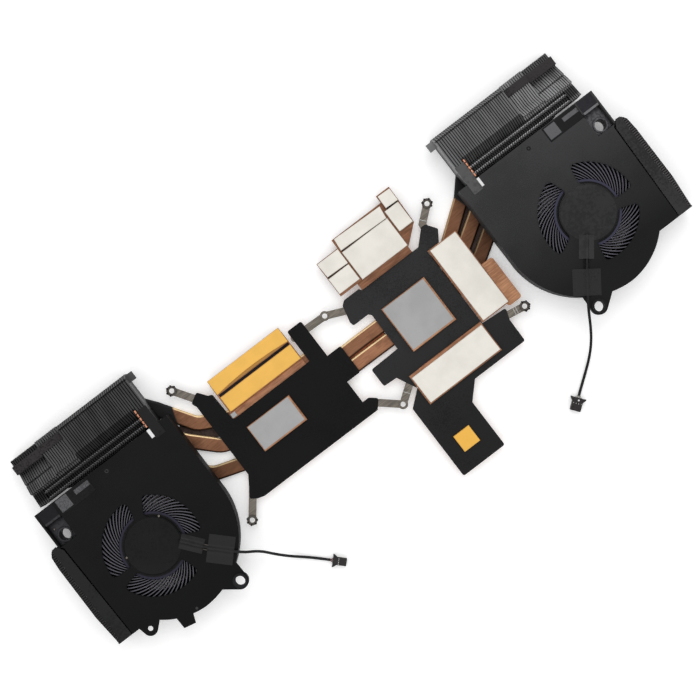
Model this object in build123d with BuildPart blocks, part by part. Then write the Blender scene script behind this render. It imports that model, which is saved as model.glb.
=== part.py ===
# Twin-fan heatsink of a laptop: two copper cold plates joined by heat pipes, and a blower with
# two fin stacks at each end. It lies with its contact side up. X runs along the long side,
# +Y points to the rear fin stacks, and Z = 0 is the underside of the heat pipes.
import os
from math import cos, degrees, hypot, log, radians, sin, tan

from build123d import *

os.makedirs("parts", exist_ok=True)

# Overall layout, in millimetres
half_depth = 65.9        # half of the depth from the end of the tail to the rear of the fins
fan_x = 124.3            # each rotor's axis, to the left and to the right of the middle
fan_y = -4.2             # both rotor axes, along Y
fan_thick = 10.0         # a blower from cover to roof

# Heat pipes, flattened
pipe_width = 7.0
pipe_thick = 2.2
pipe_bend = 9.0          # least bend radius at a pipe's centre line

# Cold plates and the film over them
plate_thick = 1.2
film_thick = 0.15
film_overhang = 0.4      # how far the film passes the edge of a plate
film_corner = 1.0
block_height = 1.2       # raised block that meets a chip
paste_thick = 0.15
paste_margin = 0.35      # bare rim of a block round its paste
fit_gap = 0.2            # clearance round what sits in a window or a pocket
cpu_block_size = (24.0, 13.7)
cpu_block_at = (-46.6, 5.6)
gpu_block_size = (24.3, 24.2)
gpu_block_at = (35.7, 5.8)
step_height = 1.0        # raised copper plates under the memory pads
pad_thick = 0.9

# Spring arms
arm_width = 3.6
arm_thick = 0.6
arm_tip_radius = 2.3
arm_hole_radius = 1.2
arm_lap = 1.0            # length of the step where a raised arm end starts
ring_height = 0.8
ring_radius = 2.45
ring_teeth = 14

# Blower housings
sheet = 0.6              # roof and cover
wall = 1.2
roof_rear = 43.3         # rotor axis to the rear edge of the housing
roof_inner = 40.7        # rotor axis to the straight side wall near the middle of the product
roof_outer = 34.6        # rotor axis to the outer side wall at the rear corner
side_edge = 31.4         # rotor axis to the outer edge beside the side fins
side_step = 25.6         # rotor axis to the step behind the side fins
scroll_end = 33.3        # scroll radius at the end near the side fins
scroll_end_angle = -52.0
scroll_front = 36.6      # scroll radius in front of the rotor
scroll_front_angle = -94.0
side_outlet = 45.5       # length of the outlet into the side fins
inlet_radius = 23.2      # ring sectors in the roof
seat_radius = 13.4       # round motor seat in the roof
cover_inlet_radius = 22.0
corner_width = 11.0      # solid corner that carries the screw hole
corner_depth = 19.3
recess_at = (29.2, 30.65)
recess_size = (9.2, 11.9)
ear_at = (-21.8, -36.7)  # eyelet beside the lead, from the rotor axis, on the right-hand fan
ear_radius = 3.9
ear_feet = [(-25.0, -29.4), (-13.4, -34.6)]    # where the eyelet's web leaves the roof
ear_hole_radius = 2.95
ear_drop = 2.4           # how far the eyelet reaches below the roof
second_ear_at = (23.6, -29.2)
second_ear_radius = 3.4
second_ear_feet = [(27.4, -25.4), (17.4, -27.4)]
lug_corners = [(11.6, -28.0), (11.3, -38.4), (5.7, -39.6), (2.8, -32.4)]    # left-hand fan only
foot_radius = 0.5
grommet_wall = 0.6
grommet_flange = 0.5
corner_hole_at = (29.3, 28.3)
corner_hole_radius = 2.7
recess_depth = 3.4

# Rotors
blade_count = 56
blade_radius = 29.5
blade_sweep = 55.0       # degrees between a blade and the radius
blade_turn = 1.9         # thickness of a blade, as degrees about the axis
blade_rise = 0.3         # how far the blades start above the underside of the cup
hub_radius = 15.4
hub_wall = 1.0
run_gap = 0.6            # free height above and below the blades
shaft_radius = 1.2
sleeve_gap = 0.03        # running clearance of the shaft
sleeve_wall = 1.3
boss_wall = 0.8
bond_gap = 0.02          # glue line between round parts
magnet_wall = 1.8
air_gap = 0.5            # between magnet and stator
pole_count = 9
pole_width = 2.2
pole_shoe = 1.0
core_wall = 1.6

# Fin stacks
fin_pitch = 1.15
fin_thick = 0.25
flange_thick = 0.3
flange_slot = 0.42       # open line between two flanges
stack_gap = 0.5          # between a housing and a fin stack
outer_gap = 0.8          # how much further back zone three starts
stack_inner = 88.2       # middle of the product to the inner end of a rear stack
stack_outer = 154.4      # middle of the product to the outer end of a rear stack
zone_two = 127.4         # where the second zone of fins starts
zone_three = 139.8       # where the third zone of fins starts
zone_plain = 149.2       # outer end of the notched rows
zone_tape = 93.2         # inner stretch that carries the entry tape
side_reach = 40.4        # rotor axis to the outermost side fin
side_fin_pitch = 1.1
tape_thick = 0.15
label_thick = 0.1
foam_thick = 1.0
row_low = 9.8            # fins between the notched rows
row_high = 11.7          # tips of the notched rows
rows = (1.6, 4.9)        # from the front of a rear stack to the middle of each notched row
row_half = 0.65
rows_end = 6.4
crest_one = 10.5         # from the front to where each zone rises to its full height
crest_two = 8.7
crest_three = 8.0
crest_drop = 0.2
crest_lead = 0.4         # depth of the steep front of a crest
ramp_end = 12.3          # from the front to the foot of the ramp in zones two and three
zone_two_top = 9.4
zone_three_top = 9.8
zone_three_foot = 18.4   # from the front to where zone three is at its lowest
rear_slope = 2.2         # depth of the steep rear edge of zone one
groove_width = 1.0       # cross grooves near the rear of zone one and in zone three
groove_depth = 1.2
low_rear = 6.6           # height of the fins' rear edge
rear_fall = 1.0          # how much lower zone three gets from its foot to its rear edge
foam_front = 19.7        # from the front of a stack to the foam strip
foam_width = 3.9
foam_low_top = 9.6
tab_reach = 3.6          # fixing tab at the inner end of a rear stack
tab_width = 4.0
tab_thick = 0.8
tab_low = 7.4
tab_inset = 0.8
entry_tape_length = 15.0
entry_tape_lap = 5.6     # how far the entry tape reaches onto the roof
label_at = (15.3, 39.2)
label_size = (18.8, 7.6)
side_open = 2.5          # outer stretch of the side fins that the strip leaves bare

# Leads, their plugs and the tapes over them
lead_radius = 0.65
plug_size = (7.4, 5.4, 2.6)
motor_tape_size = (11.0, 6.9)
motor_tape_shift = -1.8  # from the lead's first point to the tape's edge
edge_tape_size = (12.2, 13.0)
edge_tape_shift = -1.4
plug_rib = 1.6

plate_low = pipe_thick
plate_top = plate_low + plate_thick
film_top = plate_top + film_thick
block_top = plate_top + block_height
step_top = plate_top + step_height
fan_low = pipe_thick
fan_top = fan_low + fan_thick
roof_low = fan_top - sheet
cover_top = fan_low + sheet
fan_rear = fan_y + roof_rear
stack_front = fan_rear + stack_gap
side_front = scroll_end * sin(radians(scroll_end_angle))
sleeve_low = fan_low + 3.4
cup_low = cover_top + run_gap
shaft_low = cup_low + hub_wall
sides = {"left": -1, "right": 1}


def save(part, name):
    part.label = name
    export_step(part, f"parts/{name}.step")


def polar(radius, angle):
    return radius * cos(radians(angle)), radius * sin(radians(angle))


def between(start, end, distance):
    """The point that lies a distance from start, on the way to end."""
    share = distance / hypot(end[0] - start[0], end[1] - start[1])
    return start[0] + (end[0] - start[0]) * share, start[1] + (end[1] - start[1]) * share


# Heat pipes: flat bars with round sides, bent in one plane
lane_pitch = pipe_width + 0.4
lanes = [stack_front + pipe_width / 2 + 0.9 + lane_pitch * n for n in range(3)]
lane_end = zone_plain - 1.0
shelf_rear = lanes[2] + pipe_width / 2 + 0.6
pipe_routes = {
    "left_heat_pipe": [
        (-14.0, 20.3), (-62.0, 20.6), (-76.2, 27.8), (-87.2, 44.6), (-98.0, lanes[2]),
        (-lane_end, lanes[2]),
    ],
    "right_heat_pipe": [
        (27.0, 20.6), (62.5, 20.6), (84.1, 36.5), (92.6, 46.0), (104.6, lanes[2]),
        (lane_end, lanes[2]),
    ],
    "rear_shared_pipe": [
        (-lane_end, lanes[1]), (-108.0, lanes[1]), (-83.9, 23.4), (-72.0, 11.6), (8.0, 12.5),
        (62.0, 11.9), (84.9, 26.5), (116.0, lanes[1]), (lane_end, lanes[1]),
    ],
    "front_shared_pipe": [
        (-lane_end, lanes[0]), (-123.0, lanes[0]), (-98.5, 18.6), (-83.5, 4.5), (-66.0, -1.2),
        (-32.0, 1.0), (-11.5, 4.9), (66.0, 4.3), (84.7, 16.0), (121.0, lanes[0]),
        (lane_end, lanes[0]),
    ],
}
for name, route in pipe_routes.items():
    with BuildPart() as pipe:
        with BuildLine() as route_line:
            FilletPolyline(*route, radius=pipe_bend)
        start_way = route_line.line % 0
        with BuildSketch(Plane(origin=route_line.line @ 0, x_dir=(0, 0, 1), z_dir=start_way)):
            with Locations((pipe_thick / 2, 0)):
                SlotOverall(pipe_width, pipe_thick, rotation=90)
        sweep(path=route_line.line)
    save(pipe.part, name)

# Outlines of the film over each cold plate, in order round the edge
cpu_left = -71.4
cpu_right = -9.3
cpu_front = -17.7
cpu_rear = 19.3
cpu_film_outline = [
    (cpu_left, cpu_front + 0.2), (-74.6, -16.5), (-77.7, -14.4), (cpu_left, -5.0),
    (cpu_left, 33.9), (-72.5, 36.6), (-67.5, 39.5), (-64.1, 35.0), (-62.2, 34.2),
    (-61.7, cpu_rear + 0.5), (-61.2, cpu_rear), (-17.4, cpu_rear), (-17.4, 36.3),
    (cpu_right, 36.3), (cpu_right, 16.2), (-1.7, 16.2), (-1.7, 1.1), (cpu_right, 1.1),
    (cpu_right, -10.6), (-5.9, -10.6), (-2.4, -13.5), (-6.0, cpu_front),
]
gpu_right = 56.5
gpu_rear = 30.5
tail_left = 7.0
tail_right = 30.8
gpu_film_outline = [
    (12.3, 31.9), (10.2, 30.2), (8.3, 22.1), (8.7, 19.9), (17.2, 19.9), (18.3, 18.6),
    (18.3, -0.8), (2.9, -1.2), (2.9, -10.8), (9.8, -11.2), (11.6, -14.9), (14.6, -20.7),
    (tail_left, -27.1), (tail_left, -half_depth), (tail_right, -half_depth),
    (tail_right, -41.3), (38.3, -33.5), (67.3, -33.5), (67.5, -21.6), (69.4, -16.1),
    (gpu_right, -15.2), (gpu_right, 25.8), (62.7, 25.8), (66.8, 31.8), (63.2, 36.9),
    (61.0, 37.1), (54.3, gpu_rear), (21.8, gpu_rear), (20.8, 31.9),
]

# Raised copper: corner, opposite corner and how high its base lies above the plate
cpu_shelf = (-60.8, cpu_rear - 1.0, -19.4, 38.0)
cpu_tray = (-60.5, cpu_rear + 0.1, -19.5, 40.3)
tray_ridge = 3.0
tray_rear_step = 8.0
tray_groove = 1.5
side_memory = (gpu_right + 0.2, -14.9, 72.4, 26.3)
front_memory = (14.9, -30.2, 56.0, -14.2)
lug = (71.0, -16.5, 78.6, 6.5)
lug_corner = 1.4
gpu_tongue = (21.8, gpu_rear - 1.0, 50.7, 36.4)
pad_rim = 0.4


def rectangle(box, mode=Mode.ADD, grow=0.0):
    """A rectangle between two corners, inside the sketch that calls it."""
    left, front, right, rear = box
    with Locations(((left + right) / 2, (front + rear) / 2)):
        Rectangle(right - left + 2 * grow, rear - front + 2 * grow, mode=mode)


def block_box(at, size, margin=0.0):
    half_w, half_d = size[0] / 2 - margin, size[1] / 2 - margin
    return at[0] - half_w, at[1] - half_d, at[0] + half_w, at[1] + half_d


def slab(name, boxes, height):
    """Flat pieces of one height in one node. Each box ends with the height that it stands on."""
    with BuildPart() as piece:
        for *box, low in boxes:
            with BuildSketch(Plane.XY.offset(low)):
                rectangle(box)
            extrude(amount=height)
    save(piece.part, name)


# Spring arms: root in the plate, bend at the film's edge, hole at the tip, and the lift of the tip
shared_rear_hole = (0.85, 31.5)
shared_front_hole = (4.85, -22.7)
free_holes = [(-76.1, 46.9), (-82.7, -22.9), (69.7, 44.0), (76.8, -20.8)]
arms = {
    "cpu_rear_left_arm": ((-65.8, 31.3), (-70.2, 38.0), free_holes[0], False),
    "cpu_front_left_arm": ((-70.9, -8.0), (-75.9, -14.3), free_holes[1], False),
    "cpu_rear_right_arm": ((-16.4, 31.9), (-10.0, 31.9), shared_rear_hole, False),
    "cpu_front_right_arm": ((-8.0, -12.4), (-3.6, -15.4), shared_front_hole, False),
    "gpu_rear_left_arm": ((18.0, 24.0), (10.7, 27.2), shared_rear_hole, True),
    "gpu_front_left_arm": ((19.5, -12.4), (13.0, -17.0), shared_front_hole, True),
    "gpu_rear_right_arm": ((61.2, 30.0), (62.3, 37.8), free_holes[2], False),
    "gpu_front_right_arm": ((60.5, -18.1), (67.8, -19.3), free_holes[3], False),
}
arm_low = plate_top - arm_thick


def arm_strip(points, width):
    """A flat strip along some points with a round end at each, inside the sketch that calls it."""
    with BuildLine() as middle:
        Polyline(*points)
    trace(middle.line, line_width=width)
    with Locations(*points):
        Circle(width / 2)


for name, (root, bend, tip, raised) in arms.items():
    with BuildPart() as arm:
        lap_start = between(tip, bend, arm_tip_radius + 2 * fit_gap + arm_lap + arm_width / 2)
        lap_end = between(tip, bend, arm_tip_radius + 2 * fit_gap + arm_width / 2)
        with BuildSketch(Plane.XY.offset(arm_low)):
            arm_strip([root, bend, lap_end if raised else tip], arm_width)
            if not raised:
                with Locations(tip):
                    Circle(arm_tip_radius)
                    Circle(arm_hole_radius, mode=Mode.SUBTRACT)
        extrude(amount=arm_thick)
        if raised:
            with BuildSketch(Plane.XY.offset(plate_top)):
                arm_strip([lap_start, tip], arm_width)
                with Locations(tip):
                    Circle(arm_tip_radius)
                    Circle(arm_hole_radius, mode=Mode.SUBTRACT)
            extrude(amount=arm_thick)
    save(arm.part, name)

with BuildPart() as rings:
    with BuildSketch(Plane.XY.offset(plate_top)):
        with Locations(*free_holes):
            Circle(ring_radius)
            with PolarLocations(ring_radius, ring_teeth):
                RegularPolygon(0.25, 3, mode=Mode.SUBTRACT)
            Circle(arm_hole_radius + 0.1, mode=Mode.SUBTRACT)
    extrude(amount=ring_height)
save(rings.part, "retaining_rings")


def cold_plate(name, outline, extra, arm_names, corner):
    """A copper plate under its film, with pockets that hold the roots of its spring arms."""
    with BuildPart() as plate:
        with BuildSketch(Plane.XY.offset(plate_low)):
            Polygon(*outline)
            offset(amount=-film_corner)
            offset(amount=film_corner - film_overhang)
            for box in extra:
                rectangle(box)
            if corner:
                with Locations(((lug[0] + lug[2]) / 2, (lug[1] + lug[3]) / 2)):
                    RectangleRounded(lug[2] - lug[0], lug[3] - lug[1], lug_corner)
        extrude(amount=plate_thick)
        with BuildSketch(Plane.XY.offset(arm_low)):
            for arm_name in arm_names:
                root, bend, tip, _ = arms[arm_name]
                arm_strip([root, bend, tip], arm_width + 2 * fit_gap)
        extrude(amount=arm_thick, mode=Mode.SUBTRACT)
    save(plate.part, name)


def film(name, outline, windows):
    """The black film on a cold plate, cut out round each raised piece of copper."""
    with BuildPart() as sheet_part:
        with BuildSketch(Plane.XY.offset(plate_top)):
            Polygon(*outline)
            offset(amount=-film_corner)
            offset(amount=film_corner)
            for box in windows:
                rectangle(box, mode=Mode.SUBTRACT, grow=fit_gap)
        extrude(amount=film_thick)
    save(sheet_part.part, name)


cpu_block_box = block_box(cpu_block_at, cpu_block_size)
gpu_block_box = block_box(gpu_block_at, gpu_block_size)
cpu_arm_names = [name for name in arms if name.startswith("cpu")]
gpu_arm_names = [name for name in arms if name.startswith("gpu")]
cold_plate("cpu_cold_plate", cpu_film_outline, [cpu_shelf], cpu_arm_names, False)
cold_plate("gpu_cold_plate", gpu_film_outline, [side_memory, gpu_tongue], gpu_arm_names, True)
film("cpu_film", cpu_film_outline, [cpu_block_box, cpu_tray])
film("gpu_film", gpu_film_outline, [gpu_block_box, front_memory, side_memory])
slab("cpu_contact_block", [(*cpu_block_box, plate_top)], block_height)
slab("gpu_contact_block", [(*gpu_block_box, plate_top)], block_height)
slab("cpu_paste", [(*block_box(cpu_block_at, cpu_block_size, paste_margin), block_top)],
     paste_thick)
slab("gpu_paste", [(*block_box(gpu_block_at, gpu_block_size, paste_margin), block_top)],
     paste_thick)

# The tray beside the processor: a ridge in front, a low step, a groove and a high rear step
tray_sheet = 0.6
tray_left, tray_front, tray_right, tray_back = cpu_tray
tray_low_top = plate_top + tray_sheet
tray_high_top = tray_low_top + 0.8
with BuildPart() as tray:
    with BuildSketch(Plane.YZ.offset(tray_left)):
        with BuildLine():
            Polyline(
                (tray_front, plate_top), (tray_back, plate_top), (tray_back, tray_high_top),
                (tray_back - tray_rear_step, tray_high_top),
                (tray_back - tray_rear_step, tray_low_top),
                (tray_front + tray_ridge, tray_low_top),
            )
            ThreePointArc(
                (tray_front + tray_ridge, tray_low_top),
                (tray_front + tray_ridge / 2, tray_low_top + 0.5),
                (tray_front, tray_low_top),
            )
            Line((tray_front, tray_low_top), (tray_front, plate_top))
        make_face()
    extrude(amount=tray_right - tray_left)
save(tray.part, "cpu_regulator_tray")
tray_groove_at = tray_back - tray_rear_step
slab("cpu_regulator_pads", [
    (tray_left + 0.3, tray_front + tray_ridge + 0.3, tray_right - 0.2,
     tray_groove_at - tray_groove, tray_low_top),
    (tray_left + 0.1, tray_groove_at + 0.2, tray_right - 0.1, tray_back - 0.1, tray_high_top),
], pad_thick)

# Memory plates and their pads
slab("gpu_memory_plates", [(*side_memory, plate_top), (*front_memory, plate_top)], step_height)
slab("gpu_memory_pads", [
    (side_memory[0] + 2 * pad_rim, side_memory[1] + pad_rim, side_memory[2] - pad_rim,
     side_memory[3] - pad_rim, step_top),
    (front_memory[0] + pad_rim, front_memory[1] + pad_rim, front_memory[2] - pad_rim,
     front_memory[3] - 3 * pad_rim, step_top),
], pad_thick)
slab("tail_pad", [(14.1, -57.4, 23.0, -48.5, film_top)], pad_thick)

# Regulator plate behind the graphics chip: one sheet with raised steps
regulator_outline = [
    (12.2, 34.1), (21.8, 34.1), (21.8, gpu_rear + 0.1), (50.7, gpu_rear + 0.1), (50.7, 33.4),
    (51.7, 34.1), (59.8, 41.0), (60.4, 60.8), (52.9, 60.8), (52.9, 57.2), (24.4, 57.2),
    (24.4, 52.6), (12.2, 52.6),
]
regulator_steps = [(12.2, 34.1, 24.3, 52.6, 0.7), (52.9, 53.2, 60.2, 60.8, 0.7)]
with BuildPart() as regulator_plate:
    with BuildSketch(Plane.XY.offset(plate_top)):
        Polygon(*regulator_outline)
    extrude(amount=step_height)
    for *box, rise in regulator_steps:
        with BuildSketch(Plane.XY.offset(step_top)):
            rectangle(box)
        extrude(amount=rise)
save(regulator_plate.part, "gpu_regulator_plate")
high_step = step_top + regulator_steps[0][4]
slab("gpu_regulator_pads", [
    (12.4, 35.2, 24.0, 43.8, high_step), (12.4, 44.5, 24.2, 52.3, high_step),
    (24.8, 34.2, 50.9, 49.9, step_top), (24.8, 50.1, 51.6, 56.9, step_top),
    (51.8, 41.4, 59.5, 52.9, step_top), (53.1, 53.5, 60.0, 60.2, high_step),
], pad_thick)

# Roof openings round each rotor axis, as start and end angles on the right-hand fan's side
inlet_angles = {
    "left": [(-7.0, 95.0), (110.0, 200.0), (241.0, 341.0)],
    "right": [(-10.0, 75.0), (100.0, 200.0), (249.0, 334.0)],
}
inlet_slant = 4.0        # degrees by which an opening's ends lean
inlet_corner = 2.0


def draw_housing_outline(place):
    """The housing's edge seen from above, from the inner rear corner round the scroll."""
    with BuildLine() as edge:
        Polyline(
            place(-roof_inner, 0), place(-roof_inner, roof_rear), place(roof_outer, roof_rear),
            place(roof_outer, side_step), place(roof_outer - 2.0, side_step - 2.0),
            place(side_edge, side_front), place(*polar(scroll_end, scroll_end_angle)),
        )
        ThreePointArc(
            place(*polar(scroll_end, scroll_end_angle)),
            place(*polar((scroll_end + scroll_front) / 2,
                         (scroll_end_angle + scroll_front_angle) / 2)),
            place(*polar(scroll_front, scroll_front_angle)),
        )
        ThreePointArc(
            place(*polar(scroll_front, scroll_front_angle)),
            place(*polar((scroll_front + roof_inner) / 2, (scroll_front_angle - 180) / 2)),
            place(-roof_inner, 0),
        )
    return edge.edges()


def draw_ring_sector(place, inner, outer, start, end, slant):
    """A sector between two radii whose ends lean by an angle."""
    middle = (start + end) / 2
    with BuildLine() as edge:
        ThreePointArc(
            place(*polar(outer, start + slant)), place(*polar(outer, middle)),
            place(*polar(outer, end)),
        )
        Line(place(*polar(outer, end)), place(*polar(inner, end - slant)))
        ThreePointArc(
            place(*polar(inner, end - slant)), place(*polar(inner, middle)),
            place(*polar(inner, start)),
        )
        Line(place(*polar(inner, start)), place(*polar(outer, start + slant)))
    return edge.edges()


def fan_housing(side, place):
    """Roof, scroll wall, motor boss, solid screw corner and eyelets, moulded as one piece."""
    ears = [(ear_at, ear_radius, ear_feet)]
    if side == "left":
        ears.append((second_ear_at, second_ear_radius, second_ear_feet))
    sleeve_bore = shaft_radius + sleeve_gap + sleeve_wall + bond_gap
    with BuildPart() as housing:
        with BuildSketch(Plane.XY.offset(roof_low)):
            make_face(draw_housing_outline(place))
            for centre, radius, feet in ears:
                with BuildSketch(mode=Mode.PRIVATE) as web:
                    with Locations(place(*centre)):
                        Circle(radius)
                    with Locations(*[place(*foot) for foot in feet]):
                        Circle(foot_radius)
                    make_hull()
                add(web.sketch)
            if side == "left":
                Polygon(*[place(*corner) for corner in lug_corners])
            for start, end in inlet_angles[side]:
                with BuildSketch(mode=Mode.PRIVATE) as sector:
                    make_face(draw_ring_sector(place, seat_radius, inlet_radius, start, end,
                                               inlet_slant))
                    fillet(sector.vertices(), inlet_corner)
                add(sector.sketch, mode=Mode.SUBTRACT)
            with Locations(place(*ear_at)):
                Circle(ear_hole_radius, mode=Mode.SUBTRACT)
        extrude(amount=sheet)
        with BuildSketch(Plane.XY.offset(cover_top)):
            make_face(draw_housing_outline(place))
            offset(amount=-wall, mode=Mode.SUBTRACT)
            with Locations(place((roof_outer - corner_width - roof_inner + wall) / 2, roof_rear)):
                Rectangle(roof_outer - corner_width + roof_inner - wall, 3 * wall,
                          mode=Mode.SUBTRACT)
            with Locations(place(side_edge, side_step - 4.0 - side_outlet / 2)):
                Rectangle(4 * wall, side_outlet, mode=Mode.SUBTRACT)
        extrude(amount=roof_low - cover_top)
        with BuildSketch(Plane.XY.offset(cover_top)):
            make_face(draw_housing_outline(place))
            with Locations(place(roof_outer - corner_width / 2, roof_rear - corner_depth / 2)):
                Rectangle(corner_width, corner_depth, mode=Mode.INTERSECT)
        extrude(amount=roof_low - cover_top)
        with BuildSketch(Plane.XY.offset(fan_top - recess_depth)):
            with Locations(place(*recess_at)):
                Rectangle(*recess_size)
        extrude(amount=recess_depth, mode=Mode.SUBTRACT)
        with BuildSketch(Plane.XY.offset(cover_top)):
            with Locations(place(*corner_hole_at)):
                Circle(corner_hole_radius)
        extrude(amount=fan_thick, mode=Mode.SUBTRACT)
        with BuildSketch(Plane.XY.offset(roof_low - ear_drop)):
            with Locations(place(*ear_at)):
                Circle(ear_radius)
                Circle(ear_hole_radius, mode=Mode.SUBTRACT)
        extrude(amount=ear_drop)
        with BuildSketch(Plane.XY.offset(sleeve_low)):
            with Locations(place(0, 0)):
                Circle(sleeve_bore + boss_wall)
                Circle(sleeve_bore, mode=Mode.SUBTRACT)
        extrude(amount=roof_low - sleeve_low)
        if side == "left":
            with BuildSketch(Plane.XY.offset(roof_low)):
                with Locations(place(*second_ear_at)):
                    Circle(arm_hole_radius)
            extrude(amount=sheet, mode=Mode.SUBTRACT)
    return housing.part


def fan_cover(place):
    """The thin metal cover on the hidden side, with one round inlet."""
    with BuildPart() as cover:
        with BuildSketch(Plane.XY.offset(fan_low)):
            make_face(draw_housing_outline(place))
            with Locations(place(0, 0)):
                Circle(cover_inlet_radius, mode=Mode.SUBTRACT)
            with Locations(place(*corner_hole_at)):
                Circle(corner_hole_radius, mode=Mode.SUBTRACT)
        extrude(amount=sheet)
    return cover.part


def impeller(place):
    """A cup that opens towards the roof, with backward-swept blades round it."""
    growth = tan(radians(blade_sweep))
    root = hub_radius - hub_wall / 2
    middle = (root + blade_radius) / 2
    turns = [degrees(growth * log(radius / root)) for radius in (root, middle, blade_radius)]
    with BuildSketch() as blade:
        with BuildLine():
            ThreePointArc(polar(root, 0), polar(middle, turns[1]), polar(blade_radius, turns[2]))
            Line(polar(blade_radius, turns[2]), polar(blade_radius, turns[2] + blade_turn))
            ThreePointArc(
                polar(blade_radius, turns[2] + blade_turn), polar(middle, turns[1] + blade_turn),
                polar(root, blade_turn),
            )
            Line(polar(root, blade_turn), polar(root, 0))
        make_face()
        if place(1, 0)[0] < place(0, 0)[0]:
            mirror(about=Plane.YZ, mode=Mode.REPLACE)
    with BuildPart() as rotor:
        with BuildSketch(Plane.XY.offset(cup_low)):
            with Locations(place(0, 0)):
                Circle(hub_radius)
        extrude(amount=hub_wall)
        with BuildSketch(Plane.XY.offset(cup_low + blade_rise)):
            with Locations(place(0, 0)):
                Circle(hub_radius)
                Circle(hub_radius - hub_wall, mode=Mode.SUBTRACT)
                with PolarLocations(0, blade_count):
                    add(blade.sketch)
        extrude(amount=roof_low - run_gap - cup_low - blade_rise)
    return rotor.part


def ring(place, inner, outer, low, high):
    with BuildPart() as part:
        with BuildSketch(Plane.XY.offset(low)):
            with Locations(place(0, 0)):
                Circle(outer)
                if inner:
                    Circle(inner, mode=Mode.SUBTRACT)
        extrude(amount=high - low)
    return part.part


def stator(place, inner):
    """The fixed coil core: a ring with evenly spaced poles that reach out to the magnet."""
    outer = hub_radius - hub_wall - magnet_wall - air_gap
    core = inner + core_wall
    with BuildPart() as part:
        with BuildSketch(Plane.XY.offset(sleeve_low)):
            with Locations(place(0, 0)):
                Circle(outer)
                Circle(outer - pole_shoe, mode=Mode.SUBTRACT)
                Circle(core)
                with PolarLocations((core + outer - pole_shoe) / 2, pole_count):
                    Rectangle(outer - core, pole_width)
                Circle(inner, mode=Mode.SUBTRACT)
                with PolarLocations(outer, pole_count, start_angle=180 / pole_count):
                    Rectangle(3 * pole_shoe, pole_shoe, mode=Mode.SUBTRACT)
        extrude(amount=roof_low - sleeve_low)
    return part.part


def fin(upper, under, pitch):
    """One folded fin at X = 0: an upright sheet with a flange along its top and its foot."""
    lowered = [(y, z - flange_thick) for y, z in reversed(upper)]
    with BuildPart() as sheet_fin:
        with BuildSketch(Plane.YZ):
            Polygon(*upper, *under)
        extrude(amount=fin_thick)
        with BuildSketch(Plane.YZ):
            Polygon(*upper, *lowered)
        extrude(amount=pitch - flange_slot)
        with BuildSketch(Plane.YZ):
            rectangle((upper[0][0], pipe_thick, shelf_rear, pipe_thick + flange_thick))
            rectangle((shelf_rear, 0, half_depth, flange_thick))
        extrude(amount=pitch)
    return sheet_fin.part


def rear_stack():
    """Thin folded fins in a row along X. Their upper edge steps down towards the rear."""
    def at(distance, height):
        return stack_front + distance, height

    def groove(rear, before, after):
        low = before - groove_depth
        return [(rear - groove_width, before), (rear - 0.6 * groove_width, low),
                (rear - 0.4 * groove_width, low), (rear, after)]

    notched = []
    for row in rows:
        notched += [at(row - row_half, row_low), at(row - row_half / 2, row_high),
                    at(row + row_half / 2, row_high), at(row + row_half, row_low)]
    notched.append(at(rows_end, row_low))
    steep_rear = groove(half_depth - rear_slope, fan_top, fan_top - crest_drop)
    steep_rear.append((half_depth, low_rear))
    zone_two_rear = [
        at(crest_two - crest_lead, row_low + crest_drop), at(crest_two, fan_top - crest_drop),
        at(ramp_end, zone_two_top), (half_depth, zone_two_top),
    ]
    zone_three_rear = [
        at(crest_three - crest_lead, row_low + crest_drop), at(crest_three, fan_top - crest_drop),
        *groove(stack_front + ramp_end + groove_width, zone_three_top, zone_three_top - crest_drop),
        at(zone_three_foot, low_rear), (half_depth, low_rear - rear_fall),
    ]
    profiles = [
        (stack_inner, zone_tape, [at(0, fan_top)] + steep_rear),
        (zone_tape, zone_two, [at(0, row_low), *notched, at(crest_one, fan_top)] + steep_rear),
        (zone_two, zone_three, [at(0, row_low), *notched] + zone_two_rear),
        (zone_three, zone_plain, [at(outer_gap, row_low), *notched] + zone_three_rear),
        (zone_plain, stack_outer, [at(outer_gap, row_high)] + zone_three_rear),
    ]
    under = [(half_depth, 0), (shelf_rear, 0), (shelf_rear, pipe_thick)]
    rows_of_fins = []
    for inner, outer, upper in profiles:
        count = max(1, round((outer - inner) / fin_pitch))
        pitch = (outer - inner) / count
        foot = (upper[0][0], pipe_thick)
        rows_of_fins.append((inner, pitch, count, fin(upper, [*under, foot], pitch)))
    with BuildPart() as stack:
        for inner, pitch, count, one_fin in rows_of_fins:
            with Locations(*[(inner + pitch * n, 0, 0) for n in range(count)]):
                add(one_fin)
        with BuildSketch(Plane.YZ.offset(stack_outer - fin_thick)):
            Polygon(*profiles[-1][2], *under, foot)
        extrude(amount=fin_thick)
        with BuildSketch(Plane.XY.offset(tab_low)):
            with Locations((stack_inner - tab_reach / 2, half_depth - tab_inset - tab_width / 2)):
                Rectangle(tab_reach, tab_width)
        extrude(amount=tab_thick)
    return stack.part


def draw_side_outline(place):
    """The side stack's edge seen from above: straight beside the fan and bowed outside."""
    inner = side_edge + stack_gap
    rear = side_step + stack_gap + 0.2
    return Polygon(
        place(inner, side_front), place(inner + 7.4, side_front),
        place(side_reach - 1.2, side_front + 2.0),
        place(side_reach, side_front + 16), place(side_reach, rear - 9),
        place(side_reach - 0.5, rear - 3), place(side_reach - 2.2, rear - 0.3),
        place(roof_outer + 0.8, rear), place(roof_outer - 1.3, side_step - 2.8),
    )


def draw_comb(place, width, count):
    """Leaves of the sketch that calls it one strip per side fin, from the fin's own face."""
    with BuildSketch(mode=Mode.PRIVATE) as comb:
        with Locations(*[
            place(side_reach - 5, side_front + width / 2 + side_fin_pitch * n)
            for n in range(count)
        ]):
            Rectangle(16, width)
    add(comb.sketch, mode=Mode.INTERSECT)


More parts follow.
